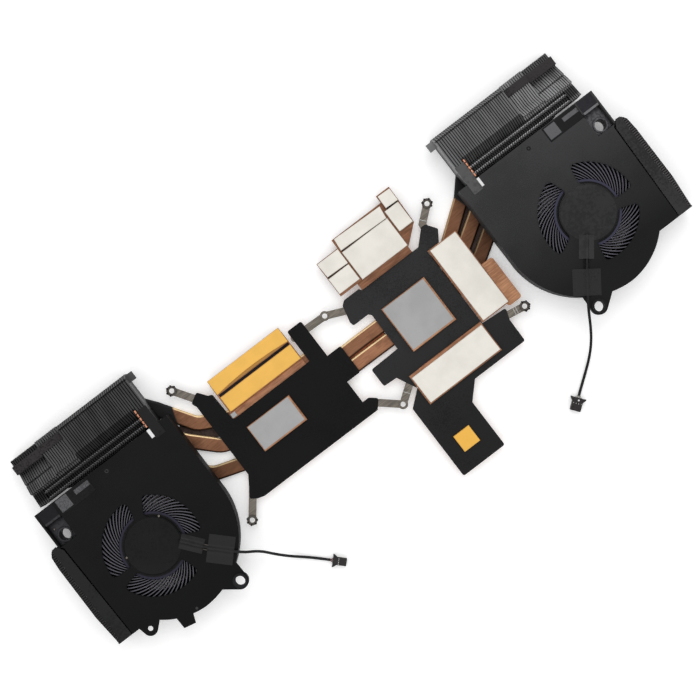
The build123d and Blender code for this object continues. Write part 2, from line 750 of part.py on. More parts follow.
def side_stack(place):
    """Fins that stand across the outer edge of the fan, between two flat sheets."""
    height = fan_thick - tape_thick
    count = int((side_step - side_front) / side_fin_pitch)
    with BuildPart() as stack:
        with BuildSketch(Plane.XY.offset(fan_low)):
            draw_side_outline(place)
        extrude(amount=flange_thick)
        with BuildSketch(Plane.XY.offset(fan_low)):
            draw_side_outline(place)
            draw_comb(place, fin_thick, count)
        extrude(amount=height)
        with BuildSketch(Plane.XY.offset(fan_low + height - flange_thick)):
            draw_side_outline(place)
            draw_comb(place, side_fin_pitch - flange_slot, count)
        extrude(amount=flange_thick)
    return stack.part


def side_tape(place):
    """The smooth strip over the side fins."""
    with BuildPart() as tape:
        with BuildSketch(Plane.XY.offset(fan_top - tape_thick)):
            draw_side_outline(place)
            with Locations(place(side_reach, 0)):
                Rectangle(2 * side_open, 2 * half_depth, mode=Mode.SUBTRACT)
        extrude(amount=tape_thick)
    return tape.part


def foam_strip():
    """A foam strip across the lower zones of the rear stack. Its underside follows the fins."""
    front = stack_front + foam_front
    rear = front + foam_width
    slope = rear_fall / (half_depth - stack_front - zone_three_foot)
    lows = [low_rear - slope * (y - stack_front - zone_three_foot) for y in (front, rear)]
    with BuildPart() as foam:
        with BuildSketch(Plane.YZ.offset(zone_two + fit_gap)):
            rectangle((front, zone_two_top, rear, zone_two_top + foam_thick))
        extrude(amount=zone_three - zone_two - fit_gap)
        with BuildSketch(Plane.YZ.offset(zone_three)):
            Polygon((front, lows[0]), (rear, lows[1]), (rear, foam_low_top), (front, foam_low_top))
        extrude(amount=stack_outer - zone_three)
    return foam.part


def entry_tape(sign):
    """The tape that joins the roof to the inner end of the rear stack."""
    front = fan_rear - entry_tape_lap
    with BuildPart() as tape:
        with BuildSketch(Plane.XY.offset(fan_top)):
            rectangle((min(sign * stack_inner, sign * zone_tape), front,
                       max(sign * stack_inner, sign * zone_tape), front + entry_tape_length))
        extrude(amount=tape_thick)
    return tape.part


def lead_tapes(route):
    """Two tapes on the roof, each with a tunnel through which the lead's straight run passes."""
    tunnel = 2 * lead_radius + 2 * fit_gap
    with BuildPart() as tapes:
        for start, end, size, shift in (
            (route[1], route[0], motor_tape_size, motor_tape_shift),
            (route[2], route[1], edge_tape_size, edge_tape_shift),
        ):
            start, end = Vector(*start[:2]), Vector(*end[:2])
            way = (end - start).normalized()
            centre = end - way * (size[0] / 2 + shift)
            plane = Plane(origin=(centre.X, centre.Y, fan_top), x_dir=(way.X, way.Y, 0),
                          z_dir=(0, 0, 1))
            with BuildSketch(plane):
                Rectangle(*size)
            extrude(amount=tape_thick)
            with BuildSketch(plane):
                Rectangle(size[0], tunnel + 2 * tape_thick)
            extrude(amount=tunnel + tape_thick)
            with BuildSketch(plane):
                Rectangle(2 * size[0], tunnel)
            extrude(amount=tunnel, mode=Mode.SUBTRACT)
    return tapes.part


# Leads: the route of each from the motor seat over the rim of the roof and down to its plug
lead_routes = {
    "left": [
        (-112.0, -11.3, 12.9), (-104.2, -21.0, 12.95), (-93.8, -31.2, 13.3),
        (-87.4, -35.4, 11.2), (-83.4, -41.4, 6.6), (-79.0, -46.9, 2.3), (-73.9, -51.6, 0.7),
        (-69.6, -55.6, 0.7), (-65.6, -59.6, 0.7),
    ],
    "right": [
        (116.4, -13.0, 12.9), (107.2, -25.0, 12.95), (97.6, -38.6, 13.3), (93.6, -46.6, 10.8),
        (90.4, -52.8, 5.4), (86.2, -58.0, 1.7), (80.6, -62.6, 0.7), (75.4, -66.4, 0.7),
        (72.0, -69.0, 0.7),
    ],
}


def corner_radii(route):
    """The largest radius at each corner: 0.45 of the shorter run over the half turn's tangent."""
    points = [Vector(*point) for point in route]
    radii = []
    for before, corner, after in zip(points, points[1:], points[2:]):
        turn = (corner - before).get_angle(after - corner)
        shorter = min((corner - before).length, (after - corner).length)
        radii.append(0.45 * shorter / tan(radians(turn / 2)))
    return radii


def lead(route, radii):
    with BuildPart() as tube:
        with BuildLine() as line:
            FilletPolyline(*route, radius=radii)
        with BuildSketch(Plane(origin=line.line @ 0, z_dir=line.line % 0)):
            Circle(lead_radius)
        sweep(path=line.line)
    return tube.part


def plug(route):
    """The plug at a lead's end, in line with its last run, with two ribs."""
    end, before = Vector(*route[-1]), Vector(*route[-2])
    way = (end - before).normalized()
    length, width, height = plug_size
    with BuildPart() as body:
        plane = Plane(origin=(end.X, end.Y, 0.05), x_dir=(way.X, way.Y, 0), z_dir=(0, 0, 1))
        with BuildSketch(plane):
            with Locations((length / 2, 0)):
                Rectangle(length, width)
            with Locations((length * 0.75, 0)):
                Rectangle(plug_rib, width + plug_rib)
        extrude(amount=height)
    return body.part


bore = shaft_radius + sleeve_gap
sleeve_outer = bore + sleeve_wall
boss_outer = sleeve_outer + bond_gap + boss_wall
magnet_outer = hub_radius - hub_wall - bond_gap
right_stack = rear_stack()
right_foam = foam_strip()
for side, sign in sides.items():
    def place(x, y, sign=sign):
        return sign * (fan_x + x), fan_y + y

    save(fan_housing(side, place), f"{side}_fan_housing")
    save(fan_cover(place), f"{side}_fan_cover")
    save(impeller(place), f"{side}_impeller")
    save(ring(place, magnet_outer - magnet_wall, magnet_outer, shaft_low, roof_low - run_gap),
         f"{side}_magnet_ring")
    save(ring(place, 0, shaft_radius, shaft_low, roof_low - run_gap), f"{side}_shaft")
    save(ring(place, bore, sleeve_outer, sleeve_low, roof_low), f"{side}_bearing_sleeve")
    save(stator(place, boss_outer + bond_gap), f"{side}_stator")
    save(right_stack if sign > 0 else mirror(right_stack, about=Plane.YZ),
         f"{side}_rear_fin_stack")
    save(right_foam if sign > 0 else mirror(right_foam, about=Plane.YZ), f"{side}_foam_strip")
    save(side_stack(place), f"{side}_side_fin_stack")
    save(side_tape(place), f"{side}_side_tape")
    save(entry_tape(sign), f"{side}_entry_tape")
    radii = corner_radii(lead_routes[side])
    print(side, "lead radii", [round(radius, 1) for radius in radii])
    save(lead(lead_routes[side], radii), f"{side}_fan_lead")
    save(plug(lead_routes[side]), f"{side}_lead_plug")
    save(lead_tapes(lead_routes[side]), f"{side}_lead_tapes")

# Pieces that both fans have, one solid each
with BuildPart() as labels:
    with BuildSketch(Plane.XY.offset(fan_top)):
        with Locations(*[(sign * (fan_x + label_at[0]), fan_y + label_at[1])
                         for sign in sides.values()]):
            Rectangle(*label_size)
    extrude(amount=label_thick)
save(labels.part, "fan_labels")

ear_places = [(sign * (fan_x + ear_at[0]), fan_y + ear_at[1]) for sign in sides.values()]
ear_low = roof_low - ear_drop
grommet_outer = ear_hole_radius - bond_gap
with BuildPart() as grommets:
    with BuildSketch(Plane.XY.offset(ear_low - grommet_flange)):
        with Locations(*ear_places):
            Circle(grommet_outer)
    extrude(amount=fan_top - ear_low + 2 * grommet_flange)
    for low in (ear_low - grommet_flange, fan_top):
        with BuildSketch(Plane.XY.offset(low)):
            with Locations(*ear_places):
                Circle((grommet_outer + ear_radius) / 2)
        extrude(amount=grommet_flange)
    with BuildSketch(Plane.XY.offset(ear_low - grommet_flange)):
        with Locations(*ear_places):
            Circle(grommet_outer - grommet_wall)
    extrude(amount=fan_top - ear_low + 2 * grommet_flange, mode=Mode.SUBTRACT)
save(grommets.part, "ear_grommets")
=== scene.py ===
from math import radians

import bmesh
import bpy
import mathutils
import numpy as np
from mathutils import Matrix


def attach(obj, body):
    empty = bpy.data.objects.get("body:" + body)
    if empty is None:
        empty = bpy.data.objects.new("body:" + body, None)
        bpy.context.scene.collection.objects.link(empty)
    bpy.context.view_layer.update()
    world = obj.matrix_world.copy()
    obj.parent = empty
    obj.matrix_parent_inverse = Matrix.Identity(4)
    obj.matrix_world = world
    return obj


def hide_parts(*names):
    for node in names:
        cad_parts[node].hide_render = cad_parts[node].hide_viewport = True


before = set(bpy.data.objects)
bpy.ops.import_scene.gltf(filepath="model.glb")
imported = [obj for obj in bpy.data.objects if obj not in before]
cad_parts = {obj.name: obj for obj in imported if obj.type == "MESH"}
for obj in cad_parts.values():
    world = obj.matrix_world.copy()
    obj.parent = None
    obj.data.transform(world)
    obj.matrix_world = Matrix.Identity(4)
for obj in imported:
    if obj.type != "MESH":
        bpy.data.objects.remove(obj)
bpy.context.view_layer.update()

scene = bpy.context.scene
scene.view_settings.view_transform = "Standard"
mm = 0.001
print("frame loaded")

# Camera: straight above the middle of the board, turned so that the part lies across the picture
shot = {"x": 0.6 * mm, "y": 12.0 * mm, "height": 0.560, "lens": 62.16, "turn": -37.4}
cameraData = bpy.data.cameras.new("shotCamera")
cameraData.lens = shot["lens"]
cameraData.clip_start = 0.01
camera = bpy.data.objects.new("shotCamera", cameraData)
camera.location = (shot["x"], shot["y"], shot["height"])
camera.rotation_euler = (0, 0, radians(shot["turn"]))
scene.collection.objects.link(camera)
scene.camera = camera


def srgb(red, green, blue):
    # a screen colour from 0 to 255 as the linear colour that a shader takes
    share = np.array([red, green, blue]) / 255
    linear = np.where(share <= 0.04045, share / 12.92, ((share + 0.055) / 1.055) ** 2.4)
    return (*linear.tolist(), 1.0)


def link(obj):
    scene.collection.objects.link(obj)
    return obj


# Fan leads: round sleeves along the same route points as the leads of the solids, in millimetres
leadLook = {"diameter": 1.3 * mm, "rings": 4}
leadPoints = {
    "left": [
        (-112.0, -11.3, 12.9), (-104.2, -21.0, 12.95), (-93.8, -31.2, 13.3),
        (-87.4, -35.4, 11.2), (-83.4, -41.4, 6.6), (-79.0, -46.9, 2.3), (-73.9, -51.6, 0.7),
        (-69.6, -55.6, 0.7), (-65.6, -59.6, 0.7),
    ],
    "right": [
        (116.4, -13.0, 12.9), (107.2, -25.0, 12.95), (97.6, -38.6, 13.3), (93.6, -46.6, 10.8),
        (90.4, -52.8, 5.4), (86.2, -58.0, 1.7), (80.6, -62.6, 0.7), (75.4, -66.4, 0.7),
        (72.0, -69.0, 0.7),
    ],
}


def leadCurve(name, points):
    # a smooth spline whose control points are the route's own points
    curve = bpy.data.curves.new(name, "CURVE")
    curve.dimensions = "3D"
    curve.bevel_depth = leadLook["diameter"] / 2
    curve.bevel_resolution = leadLook["rings"]
    curve.use_fill_caps = True
    spline = curve.splines.new("NURBS")
    spline.points.add(len(points) - 1)
    flat = np.column_stack([np.array(points) * mm, np.ones(len(points))])
    spline.points.foreach_set("co", flat.ravel())
    spline.order_u = 3
    spline.use_endpoint_u = True
    spline.resolution_u = 16
    return link(bpy.data.objects.new(name, curve))


leads = {side: leadCurve(f"{side}FanLead", points) for side, points in leadPoints.items()}
print("leads laid")


# Surfaces on a grid
def gridFaces(rows, columns, closedRows=False, closedColumns=False):
    # every cell between neighbouring rows and columns is one four-sided face
    row = np.arange(rows if closedRows else rows - 1)
    column = np.arange(columns if closedColumns else columns - 1)
    i, j = np.meshgrid(row, column, indexing="ij")
    nextRow, nextColumn = (i + 1) % rows, (j + 1) % columns
    corners = [i * columns + j, nextRow * columns + j,
               nextRow * columns + nextColumn, i * columns + nextColumn]
    return np.stack(corners, axis=-1).reshape(-1, 4).tolist()


def addPiece(name, points, faces, smooth=True):
    mesh = bpy.data.meshes.new(name)
    mesh.from_pydata(np.asarray(points).reshape(-1, 3).tolist(), [], faces)
    mesh.polygons.foreach_set("use_smooth", [smooth] * len(mesh.polygons))
    mesh.update()
    return link(bpy.data.objects.new(name, mesh))


def settle(piece, material, stands=(), body="heatsink"):
    # gives a piece its finish, the body that it moves with and the solids that it stands for
    piece.data.materials.clear()
    piece.data.materials.append(material)
    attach(piece, body)
    if stands:
        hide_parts(*stands)
    return piece


def joined(sheets):
    # several grids as one list of points and faces
    points, faces, start = [], [], 0
    for sheetPoints, sheetFaces in sheets:
        flat = np.asarray(sheetPoints).reshape(-1, 3)
        points.append(flat)
        faces += [[corner + start for corner in face] for face in sheetFaces]
        start += len(flat)
    return np.concatenate(points), faces


def fixNormals(piece):
    # faces of a closed shell are turned outwards
    shell = bmesh.new()
    shell.from_mesh(piece.data)
    bmesh.ops.remove_doubles(shell, verts=shell.verts, dist=1e-8)
    bmesh.ops.recalc_face_normals(shell, faces=shell.faces)
    shell.to_mesh(piece.data)
    shell.free()
    return piece


def loft(sections):
    # closed outlines one behind the other, joined to a skin, with a flat cap at each end
    sections = np.asarray(sections, dtype=float)
    count, around = sections.shape[:2]
    faces = gridFaces(count, around, closedColumns=True)
    faces.append(list(range(around)))
    faces.append([(count - 1) * around + n for n in range(around)][::-1])
    return sections, faces


def trim(name, finishName, slotName, *shapes, stands=(), smooth=True, mend=True):
    # one rigid piece from several shapes, where mend turns the faces of closed shells outwards
    piece = addPiece(name, *joined(shapes), smooth=smooth)
    if mend:
        fixNormals(piece)
    return settle(piece, finishes[finishName], stands)


def wayAcross(start, end):
    # the direction from one point to another as seen from above, and the one to its left
    way = np.subtract(end, start) / np.hypot(*np.subtract(end, start))
    return way, np.array([-way[1], way[0]])


def spun(profile, centre, steps):
    # each point (radius, height) of the profile runs round an upright axis
    profile = np.asarray(profile, dtype=float) * mm
    turn = np.linspace(0, 2 * np.pi, steps, endpoint=False)
    radius, height = profile[:, 0][:, None], profile[:, 1][:, None]
    return np.stack([centre[0] * mm + radius * np.cos(turn), centre[1] * mm + radius * np.sin(turn),
                     height + 0 * turn], axis=-1)


def lathe(profile, centre, steps):
    # a turned solid with a flat cap at each end of its profile
    faces = [face[::-1] for face in gridFaces(len(profile), steps, closedColumns=True)]
    first, last = list(range(steps)), [(len(profile) - 1) * steps + n for n in range(steps)]
    faces += [first[::-1], last] if profile[0][1] < profile[-1][1] else [first, last[::-1]]
    return spun(profile, centre, steps), faces


def ringLathe(profile, centre, steps):
    # a turned ring whose profile is closed, so that it has no open seam
    return spun(profile, centre, steps), gridFaces(len(profile), steps, closedRows=True,
                                                   closedColumns=True)


def slab(corners, low, height, edge=0.25, crown=0.03, bow=0.0, lift=0.0, ripple=0.0,
         counts=(48, 26)):
    # A pad between four corners. Height above its seat is that of a quarter ellipse near the rim,
    # plus a low dome. Bow pushes the middle of the front edge rearwards, and lift curls it up.
    u, v = [0.5 - 0.5 * np.cos(np.pi * np.linspace(0, 1, count)) for count in counts]
    u, v = np.meshgrid(u, v, indexing="ij")
    a, b, c, d = [np.array(corner, dtype=float) for corner in corners]
    flat = (a * ((1 - u) * (1 - v))[..., None] + b * (u * (1 - v))[..., None]
            + c * (u * v)[..., None] + d * ((1 - u) * v)[..., None])
    flat[..., 1] += bow * 4 * u * (1 - u) * (1 - v)
    width, depth = np.hypot(*(b - a)), np.hypot(*(d - a))
    rim = np.minimum(np.minimum(u, 1 - u) * width, np.minimum(v, 1 - v) * depth)
    inner = 1 - np.clip(rim / edge, 0, 1)
    top = height * np.sqrt(1 - inner ** 2) + crown * 16 * u * (1 - u) * v * (1 - v)
    curl = lift * (1 - v) ** 4 * (0.55 + 0.45 * np.sin(7 * u + 0.6))
    wave = ripple * np.sin(9 * u + 2) * np.sin(5 * v + 1) * np.clip(rim / edge, 0, 1)
    points = np.concatenate([flat, (low + top + curl + wave)[..., None]], axis=-1) * mm
    rows, columns = u.shape
    index = np.arange(rows * columns).reshape(rows, columns)
    loop = np.concatenate([index[:, 0], index[-1, 1:], index[-2::-1, -1], index[0, -2:0:-1]])
    if lift:  # a lifted rim has a skin of its own below it
        under = points.copy()
        under[..., 2] = (low + curl) * mm
        size = rows * columns
        lower = [[corner + size for corner in face[::-1]] for face in gridFaces(rows, columns)]
        ring = np.roll(loop, -1)
        walls = np.stack([loop + size, ring + size, ring, loop], axis=-1).tolist()
        return np.concatenate([points.reshape(-1, 3), under.reshape(-1, 3)]), \
            gridFaces(rows, columns) + lower + walls
    return points, gridFaces(rows, columns) + [loop[::-1].tolist()]


def boxCorners(left, front, right, rear):
    return [(left, front), (right, front), (right, rear), (left, rear)]


def sheet(box, low, height, edge, counts):
    # a thin flat slab over a box of left, front, right and rear
    return slab(boxCorners(*box), low, height, edge=edge, crown=0.0, counts=counts)


# Blowers, in millimetres from the rotor axis outwards: the finishes below use these sizes too
fanLook = {
    "x": 124.3, "y": -4.2, "roof": 12.2, "seat": 12.9, "inletInner": 13.4, "inletOuter": 23.2,
    "slant": 4.0, "rimWidth": 0.35, "rimHeight": 0.12, "recessFloor": 8.8,
}
# Folded outer edge of the side fins, beside the smooth strip: the edge seen from above runs
# through these points, and the height is a low comb that stands up for ribShare of each pitch
combLook = {
    "inner": 37.95, "low": 12.06, "height": 0.12, "pitch": 1.1, "ribShare": 0.62,
    "edge": [(-26.2, 39.1), (-24.2, 39.15), (-10.2, 40.35), (17.3, 40.35), (23.3, 39.85),
             (25.7, 38.2)],
}


# Finishes
def startFinish(name, colour, rough, metal=0.0):
    material = bpy.data.materials.new(name)
    material.use_nodes = True
    tree = material.node_tree
    surface = tree.nodes["Principled BSDF"].inputs
    for key, value in (("Base Color", colour), ("Roughness", rough), ("Metallic", metal),
                       ("Specular IOR Level", 0.1)):
        surface[key].default_value = value
    return material, tree, surface, tree.nodes.new("ShaderNodeTexCoord").outputs["Object"]


def feed(tree, socket, value):
    # a socket takes another node's output or a plain value
    if isinstance(value, bpy.types.NodeSocket):
        tree.links.new(value, socket)
    elif value is not None:
        socket.default_value = value


def calc(tree, operation, *values, kind="ShaderNodeMath"):
    # one step of arithmetic on the given values
    node = tree.nodes.new(kind)
    node.operation = operation
    for socket, value in zip(node.inputs, values):
        feed(tree, socket, value)
    return node.outputs["Value" if operation == "LENGTH" else 0]


def calcVector(tree, operation, *values):
    return calc(tree, operation, *values, kind="ShaderNodeVectorMath")


def mixed(tree, factor, first, second, blend="MIX"):
    node = tree.nodes.new("ShaderNodeMix")
    node.data_type, node.blend_type = "RGBA", blend
    for socket, value in ((0, factor), (6, first), (7, second)):
        feed(tree, node.inputs[socket], value)
    return node.outputs[2]


def axes(tree, vector):
    split = tree.nodes.new("ShaderNodeSeparateXYZ")
    tree.links.new(vector, split.inputs["Vector"])
    return split.outputs


def grain(tree, place, scale, detail, stretch=(1, 1, 1), turn=0.0):
    mapping = tree.nodes.new("ShaderNodeMapping")
    mapping.inputs["Scale"].default_value = stretch
    mapping.inputs["Rotation"].default_value = (0, 0, turn)
    tree.links.new(place, mapping.inputs["Vector"])
    noise = tree.nodes.new("ShaderNodeTexNoise")
    noise.inputs["Scale"].default_value = scale
    noise.inputs["Detail"].default_value = detail
    tree.links.new(mapping.outputs["Vector"], noise.inputs["Vector"])
    return noise.outputs["Fac"]


def rampTo(tree, factor, low, high, start, end):
    # one colour below start, another above end, and a blend between them
    ramp = tree.nodes.new("ShaderNodeValToRGB")
    for stop, position, colour in zip(ramp.color_ramp.elements, (start, end), (low, high)):
        stop.position, stop.color = position, colour
    tree.links.new(factor, ramp.inputs["Fac"])
    return ramp.outputs["Color"]


def spread(tree, factor, low, high, start=0.3, end=0.7):
    # the same for a number
    between = tree.nodes.new("ShaderNodeMapRange")
    for key, value in (("From Min", start), ("From Max", end), ("To Min", low), ("To Max", high)):
        between.inputs[key].default_value = value
    tree.links.new(factor, between.inputs["Value"])
    return between.outputs["Result"]


def band(tree, value, low, high, soft=0.0002):
    # one between low and high, none outside, with a soft edge
    return calc(tree, "MULTIPLY", spread(tree, value, 0, 1, low - soft, low),
                spread(tree, value, 1, 0, high, high + soft))


def times(tree, colour, mask, low, high):
    # scales a colour by low where the mask is none and by high where it is one
    return calcVector(tree, "SCALE", colour, None, None, spread(tree, mask, low, high, 0, 1))


def toned(colour, share):
    # a darker or paler version of a colour, never past white
    return (*[min(1.0, part * share) for part in colour[:3]], 1.0)


def axisDistance(tree, place):
    # distance from the nearer rotor axis, seen from above
    spot = calcVector(tree, "MULTIPLY", place, (1, 1, 0))
    spot = calcVector(tree, "SUBTRACT", spot, (0, fanLook["y"] * mm, 0))
    spot = calcVector(tree, "ABSOLUTE", spot)
    spot = calcVector(tree, "SUBTRACT", spot, (fanLook["x"] * mm, 0, 0))
    return calcVector(tree, "LENGTH", spot)


def coat(tree, surface, colour, rough, height, strength, depth):
    # leads a colour, a roughness and a fine relief into the shader
    tree.links.new(colour, surface["Base Color"])
    tree.links.new(rough, surface["Roughness"])
    bump = tree.nodes.new("ShaderNodeBump")
    bump.inputs["Strength"].default_value = strength
    bump.inputs["Distance"].default_value = depth
    tree.links.new(height, bump.inputs["Height"])
    tree.links.new(bump.outputs["Normal"], surface["Normal"])


def copperFinish(name, dark, light, turn=0.0):
    # drawn copper: fine streaks along the metal, cloudy tarnish and a satin gloss
    material, tree, surface, place = startFinish(name, dark, 0.42, 0.85)
    cloud = grain(tree, place, 90, 5)
    streak = grain(tree, place, 1500, 4, (0.12, 1, 1), turn)
    both = calc(tree, "MULTIPLY_ADD", streak, 0.55, calc(tree, "MULTIPLY", cloud, 0.45))
    coat(tree, surface, rampTo(tree, both, dark, light, 0.38, 0.62),
         spread(tree, cloud, 0.34, 0.52), streak, 0.25, 0.00004)
    return material


pipeLook = {
    "dark": srgb(132, 93, 70), "light": srgb(158, 112, 85), "paint": srgb(34, 34, 35),
    # the first colour on the next line is the painted highlight of the pipes' rear shoulders
    "paintedHighlight": srgb(255, 226, 176), "stain": (0.5, 0.46, 0.45, 1),
    "paintFrom": 0.0946, "paintTo": 0.0954, "paintSlant": 0.33,  # lengths are in metres
    "sharedReach": 0.03, "sharedRear": 0.0086,  # the front one of the two shared pipes
    "rightFrom": 0.05, "rightShare": 0.68,  # the right pipes are darker
    # the frontmost pipe beside each blower: a span along X, and a line that leans with X
    "dull": [(0.05, 1.0, -0.0302), (-1.0, -0.05, -0.0375)], "dullLean": -0.6, "dullShare": 0.55,
}


def pipeFinish():
    # copper that turns to black paint near the blowers, where distance from the middle along X
    # plus a third of Y passes 95 mm; a painted highlight lies on its rear shoulder and painted
    # shade darkens its front shoulder
    look = pipeLook
    material, tree, surface, place = startFinish("pipeCopper", srgb(150, 100, 70), 0.4, 0.8)
    spot = axes(tree, place)
    away = calc(tree, "ABSOLUTE", spot["X"])
    cloud = grain(tree, place, 120, 5)
    streak = grain(tree, place, 1400, 4, (0.12, 1, 1))
    edge = calc(tree, "MULTIPLY_ADD", cloud, 0.002,
                calc(tree, "MULTIPLY_ADD", spot["Y"], look["paintSlant"], away))
    paint = spread(tree, edge, 0, 1, look["paintFrom"], look["paintTo"])
    copper = rampTo(tree, streak, look["dark"], look["light"], 0.3, 0.7)
    frontPipe = calc(tree, "MULTIPLY", band(tree, away, -1.0, look["sharedReach"]),
                     band(tree, spot["Y"], -1.0, look["sharedRear"], 0.0001))
    copper = times(tree, copper, frontPipe, 1.0, 1.3)
    # pipes right of 50 mm are darker, and their painted highlight is weaker
    rightPipesDarker = band(tree, spot["X"], look["rightFrom"], 1.0)
    copper = times(tree, copper, rightPipesDarker, 1.0, look["rightShare"])
    facing = axes(tree, tree.nodes.new("ShaderNodeNewGeometry").outputs["True Normal"])
    # painted highlight on the rear-facing shoulder of each pipe, painted shade on the front-facing
    # one
    paintedHighlightMask = band(tree, facing["Y"], 0.22, 0.86, 0.08)
    paintedShadeMask = band(tree, facing["Y"], -1.0, -0.3, 0.15)
    paintedHighlight = calc(tree, "MULTIPLY", paintedHighlightMask, spread(tree, rightPipesDarker, 0.9, 0.3, 0, 1))
    copper = mixed(tree, paintedHighlight, copper, look["paintedHighlight"])
    lean = calc(tree, "MULTIPLY_ADD", away, look["dullLean"], spot["Y"])
    for low, high, line in look["dull"]:
        dullPipe = calc(tree, "MULTIPLY", band(tree, spot["X"], low, high),
                        band(tree, lean, -1.0, line))
        copper = times(tree, copper, dullPipe, 1.0, look["dullShare"])
    # painted shade on the front shoulders
    copper = times(tree, copper, paintedShadeMask, 1.0, 0.22)
    stain = rampTo(tree, cloud, look["stain"], (1, 1, 1, 1), 0.34, 0.52)
    painted = mixed(tree, paint, mixed(tree, 0.5, copper, stain, "MULTIPLY"), look["paint"])
    tree.links.new(spread(tree, paint, 0.85, 0.0, 0, 1), surface["Metallic"])
    coat(tree, surface, painted, spread(tree, cloud, 0.34, 0.50), streak, 0.2, 0.00003)
    return material


def speckFinish(name, colour, rough, scale, depth, metal=0.0, contrast=0.25, paintedLightFade=None):
    # a nearly even surface with a fine moulded or woven grain and a few broad worn patches, and
    # where a fade is given, painted light: the colour goes from one share of itself to another
    # between two Ys
    material, tree, surface, place = startFinish(name, colour, rough, metal)
    fine, broad = grain(tree, place, scale, 2), grain(tree, place, 45, 4)
    speckled = rampTo(tree, calc(tree, "ADD", fine, broad), toned(colour, 1 - contrast),
                      toned(colour, 1 + contrast), 0.8, 1.2)
    if paintedLightFade:
        front, rear, frontShare, rearShare = paintedLightFade
        rearward = spread(tree, axes(tree, place)["Y"], 0, 1, front * mm, rear * mm)
        speckled = times(tree, speckled, rearward, frontShare, rearShare)
    coat(tree, surface, speckled, spread(tree, broad, max(0.05, rough - 0.08), rough + 0.08),
         fine, 0.35, depth)
    return material


def brushedFinish(name, colour, rough, turn):
    # steel strip with rolling lines along one direction
    material, tree, surface, place = startFinish(name, colour, rough, 0.8)
    lines = grain(tree, place, 2200, 3, (0.06, 1, 1), turn)
    coat(tree, surface, rampTo(tree, lines, toned(colour, 0.7), toned(colour, 1.35), 0.35, 0.65),
         spread(tree, grain(tree, place, 160, 4), rough - 0.08, rough + 0.1), lines, 0.2, 0.00002)
    return material


finLook = {
    "depth": 0.004, "tip": 0.0096,
    # share of the tone, then where it holds: spans of Y, Z and distance from the middle, in metres
    "bands": [
        # painted light that brightens the rear of the outer zones
        (1.9, {"Y": (0.0468, 1.0), "away": (0.1274, 1.0)}),  # rear of the outer zones
        (0.42, {"Y": (0.0462, 0.0503), "away": (0.0932, 0.1274)}),  # ribs behind the recess
        # painted shade in the recess with the tab rows
        (0.3, {"Y": (0.0390, 0.0462), "Z": (0.0, 0.0112)}),  # recess with the tab rows
        (1.9, {"away": (0.0, 0.0885)}),  # innermost fin
    ],
}


def finFinish(name, tip, depth):
    # black lacquer on folded fins: worn in patches on the flat tops, with painted shade darkening
    # it down between them, and bands where the tone is scaled, some of them painted light and shade
    material, tree, surface, place = startFinish(name, tip, 0.45, 0.1)
    rub = grain(tree, place, 260, 5, (1, 0.25, 1))
    fine = grain(tree, place, 1800, 2)
    spot = axes(tree, place)
    measures = {"Y": spot["Y"], "Z": spot["Z"], "away": calc(tree, "ABSOLUTE", spot["X"])}
    # painted shade: the tone falls to the dark colour from the tops down between the fins
    height = spread(tree, spot["Z"], 0, 1, finLook["depth"], finLook["tip"])
    tone = mixed(tree, height, depth, rampTo(tree, rub, toned(tip, 0.62), tip, 0.3, 0.62))
    for share, spans in finLook["bands"]:
        masks = [band(tree, measures[key], *span) for key, span in spans.items()]
        mask = masks[0] if len(masks) == 1 else calc(tree, "MULTIPLY", *masks)
        tone = times(tree, tone, mask, 1.0, share)
    coat(tree, surface, tone, spread(tree, rub, 0.38, 0.55), fine, 0.25, 0.00002)
    return material


def combFinish(name, rib, gap):
    # a share of each pitch along Y is rib and the rest is painted shade, the dark line down between
    # two fins
    material, tree, surface, place = startFinish(name, rib, 0.45)
    pitch, ribShare = combLook["pitch"], combLook["ribShare"]
    start = fanLook["y"] + combLook["edge"][0][0]
    pitches = calc(tree, "MULTIPLY_ADD", axes(tree, place)["Y"], 1 / (pitch * mm),
                   100 - start / pitch)
    ribs = rampTo(tree, calc(tree, "FRACT", pitches), rib, gap, ribShare - 0.04, ribShare + 0.04)
    tree.links.new(times(tree, ribs, grain(tree, place, 500, 3), 0.6, 1.4), surface["Base Color"])
    return material


def padFinish(name, colour, rough=0.75):
    # soft filled silicone: very fine grain, faint clouds and a dull sheen
    material, tree, surface, place = startFinish(name, colour, rough)
    surface["Specular IOR Level"].default_value = 0.3
    fine, cloud = grain(tree, place, 2600, 3), grain(tree, place, 110, 5)
    coat(tree, surface, rampTo(tree, cloud, toned(colour, 0.90), colour, 0.3, 0.6),
         spread(tree, cloud, rough - 0.1, min(1.0, rough + 0.1)), fine, 0.4, 0.00003)
    return material


rotorLook = {"foot": 0.0085, "tip": 0.0110, "hubRadius": 0.0156}  # in metres


def rotorFinish(name, colour, hubColour):
    # moulded blades: a slight gloss, painted shade that darkens them low down, and a bluish ring
    # round the hub
    material, tree, surface, place = startFinish(name, colour, 0.38)
    cloud = grain(tree, place, 300, 3)
    height = spread(tree, axes(tree, place)["Z"], 0, 1, rotorLook["foot"], rotorLook["tip"])
    blades = rampTo(tree, height, toned(colour, 0.12), colour, 0.1, 1.0)
    hub = band(tree, axisDistance(tree, place), -1.0, rotorLook["hubRadius"])
    coat(tree, surface, mixed(tree, hub, blades, hubColour), spread(tree, cloud, 0.32, 0.46),
         cloud, 0.1, 0.00003)
    return material


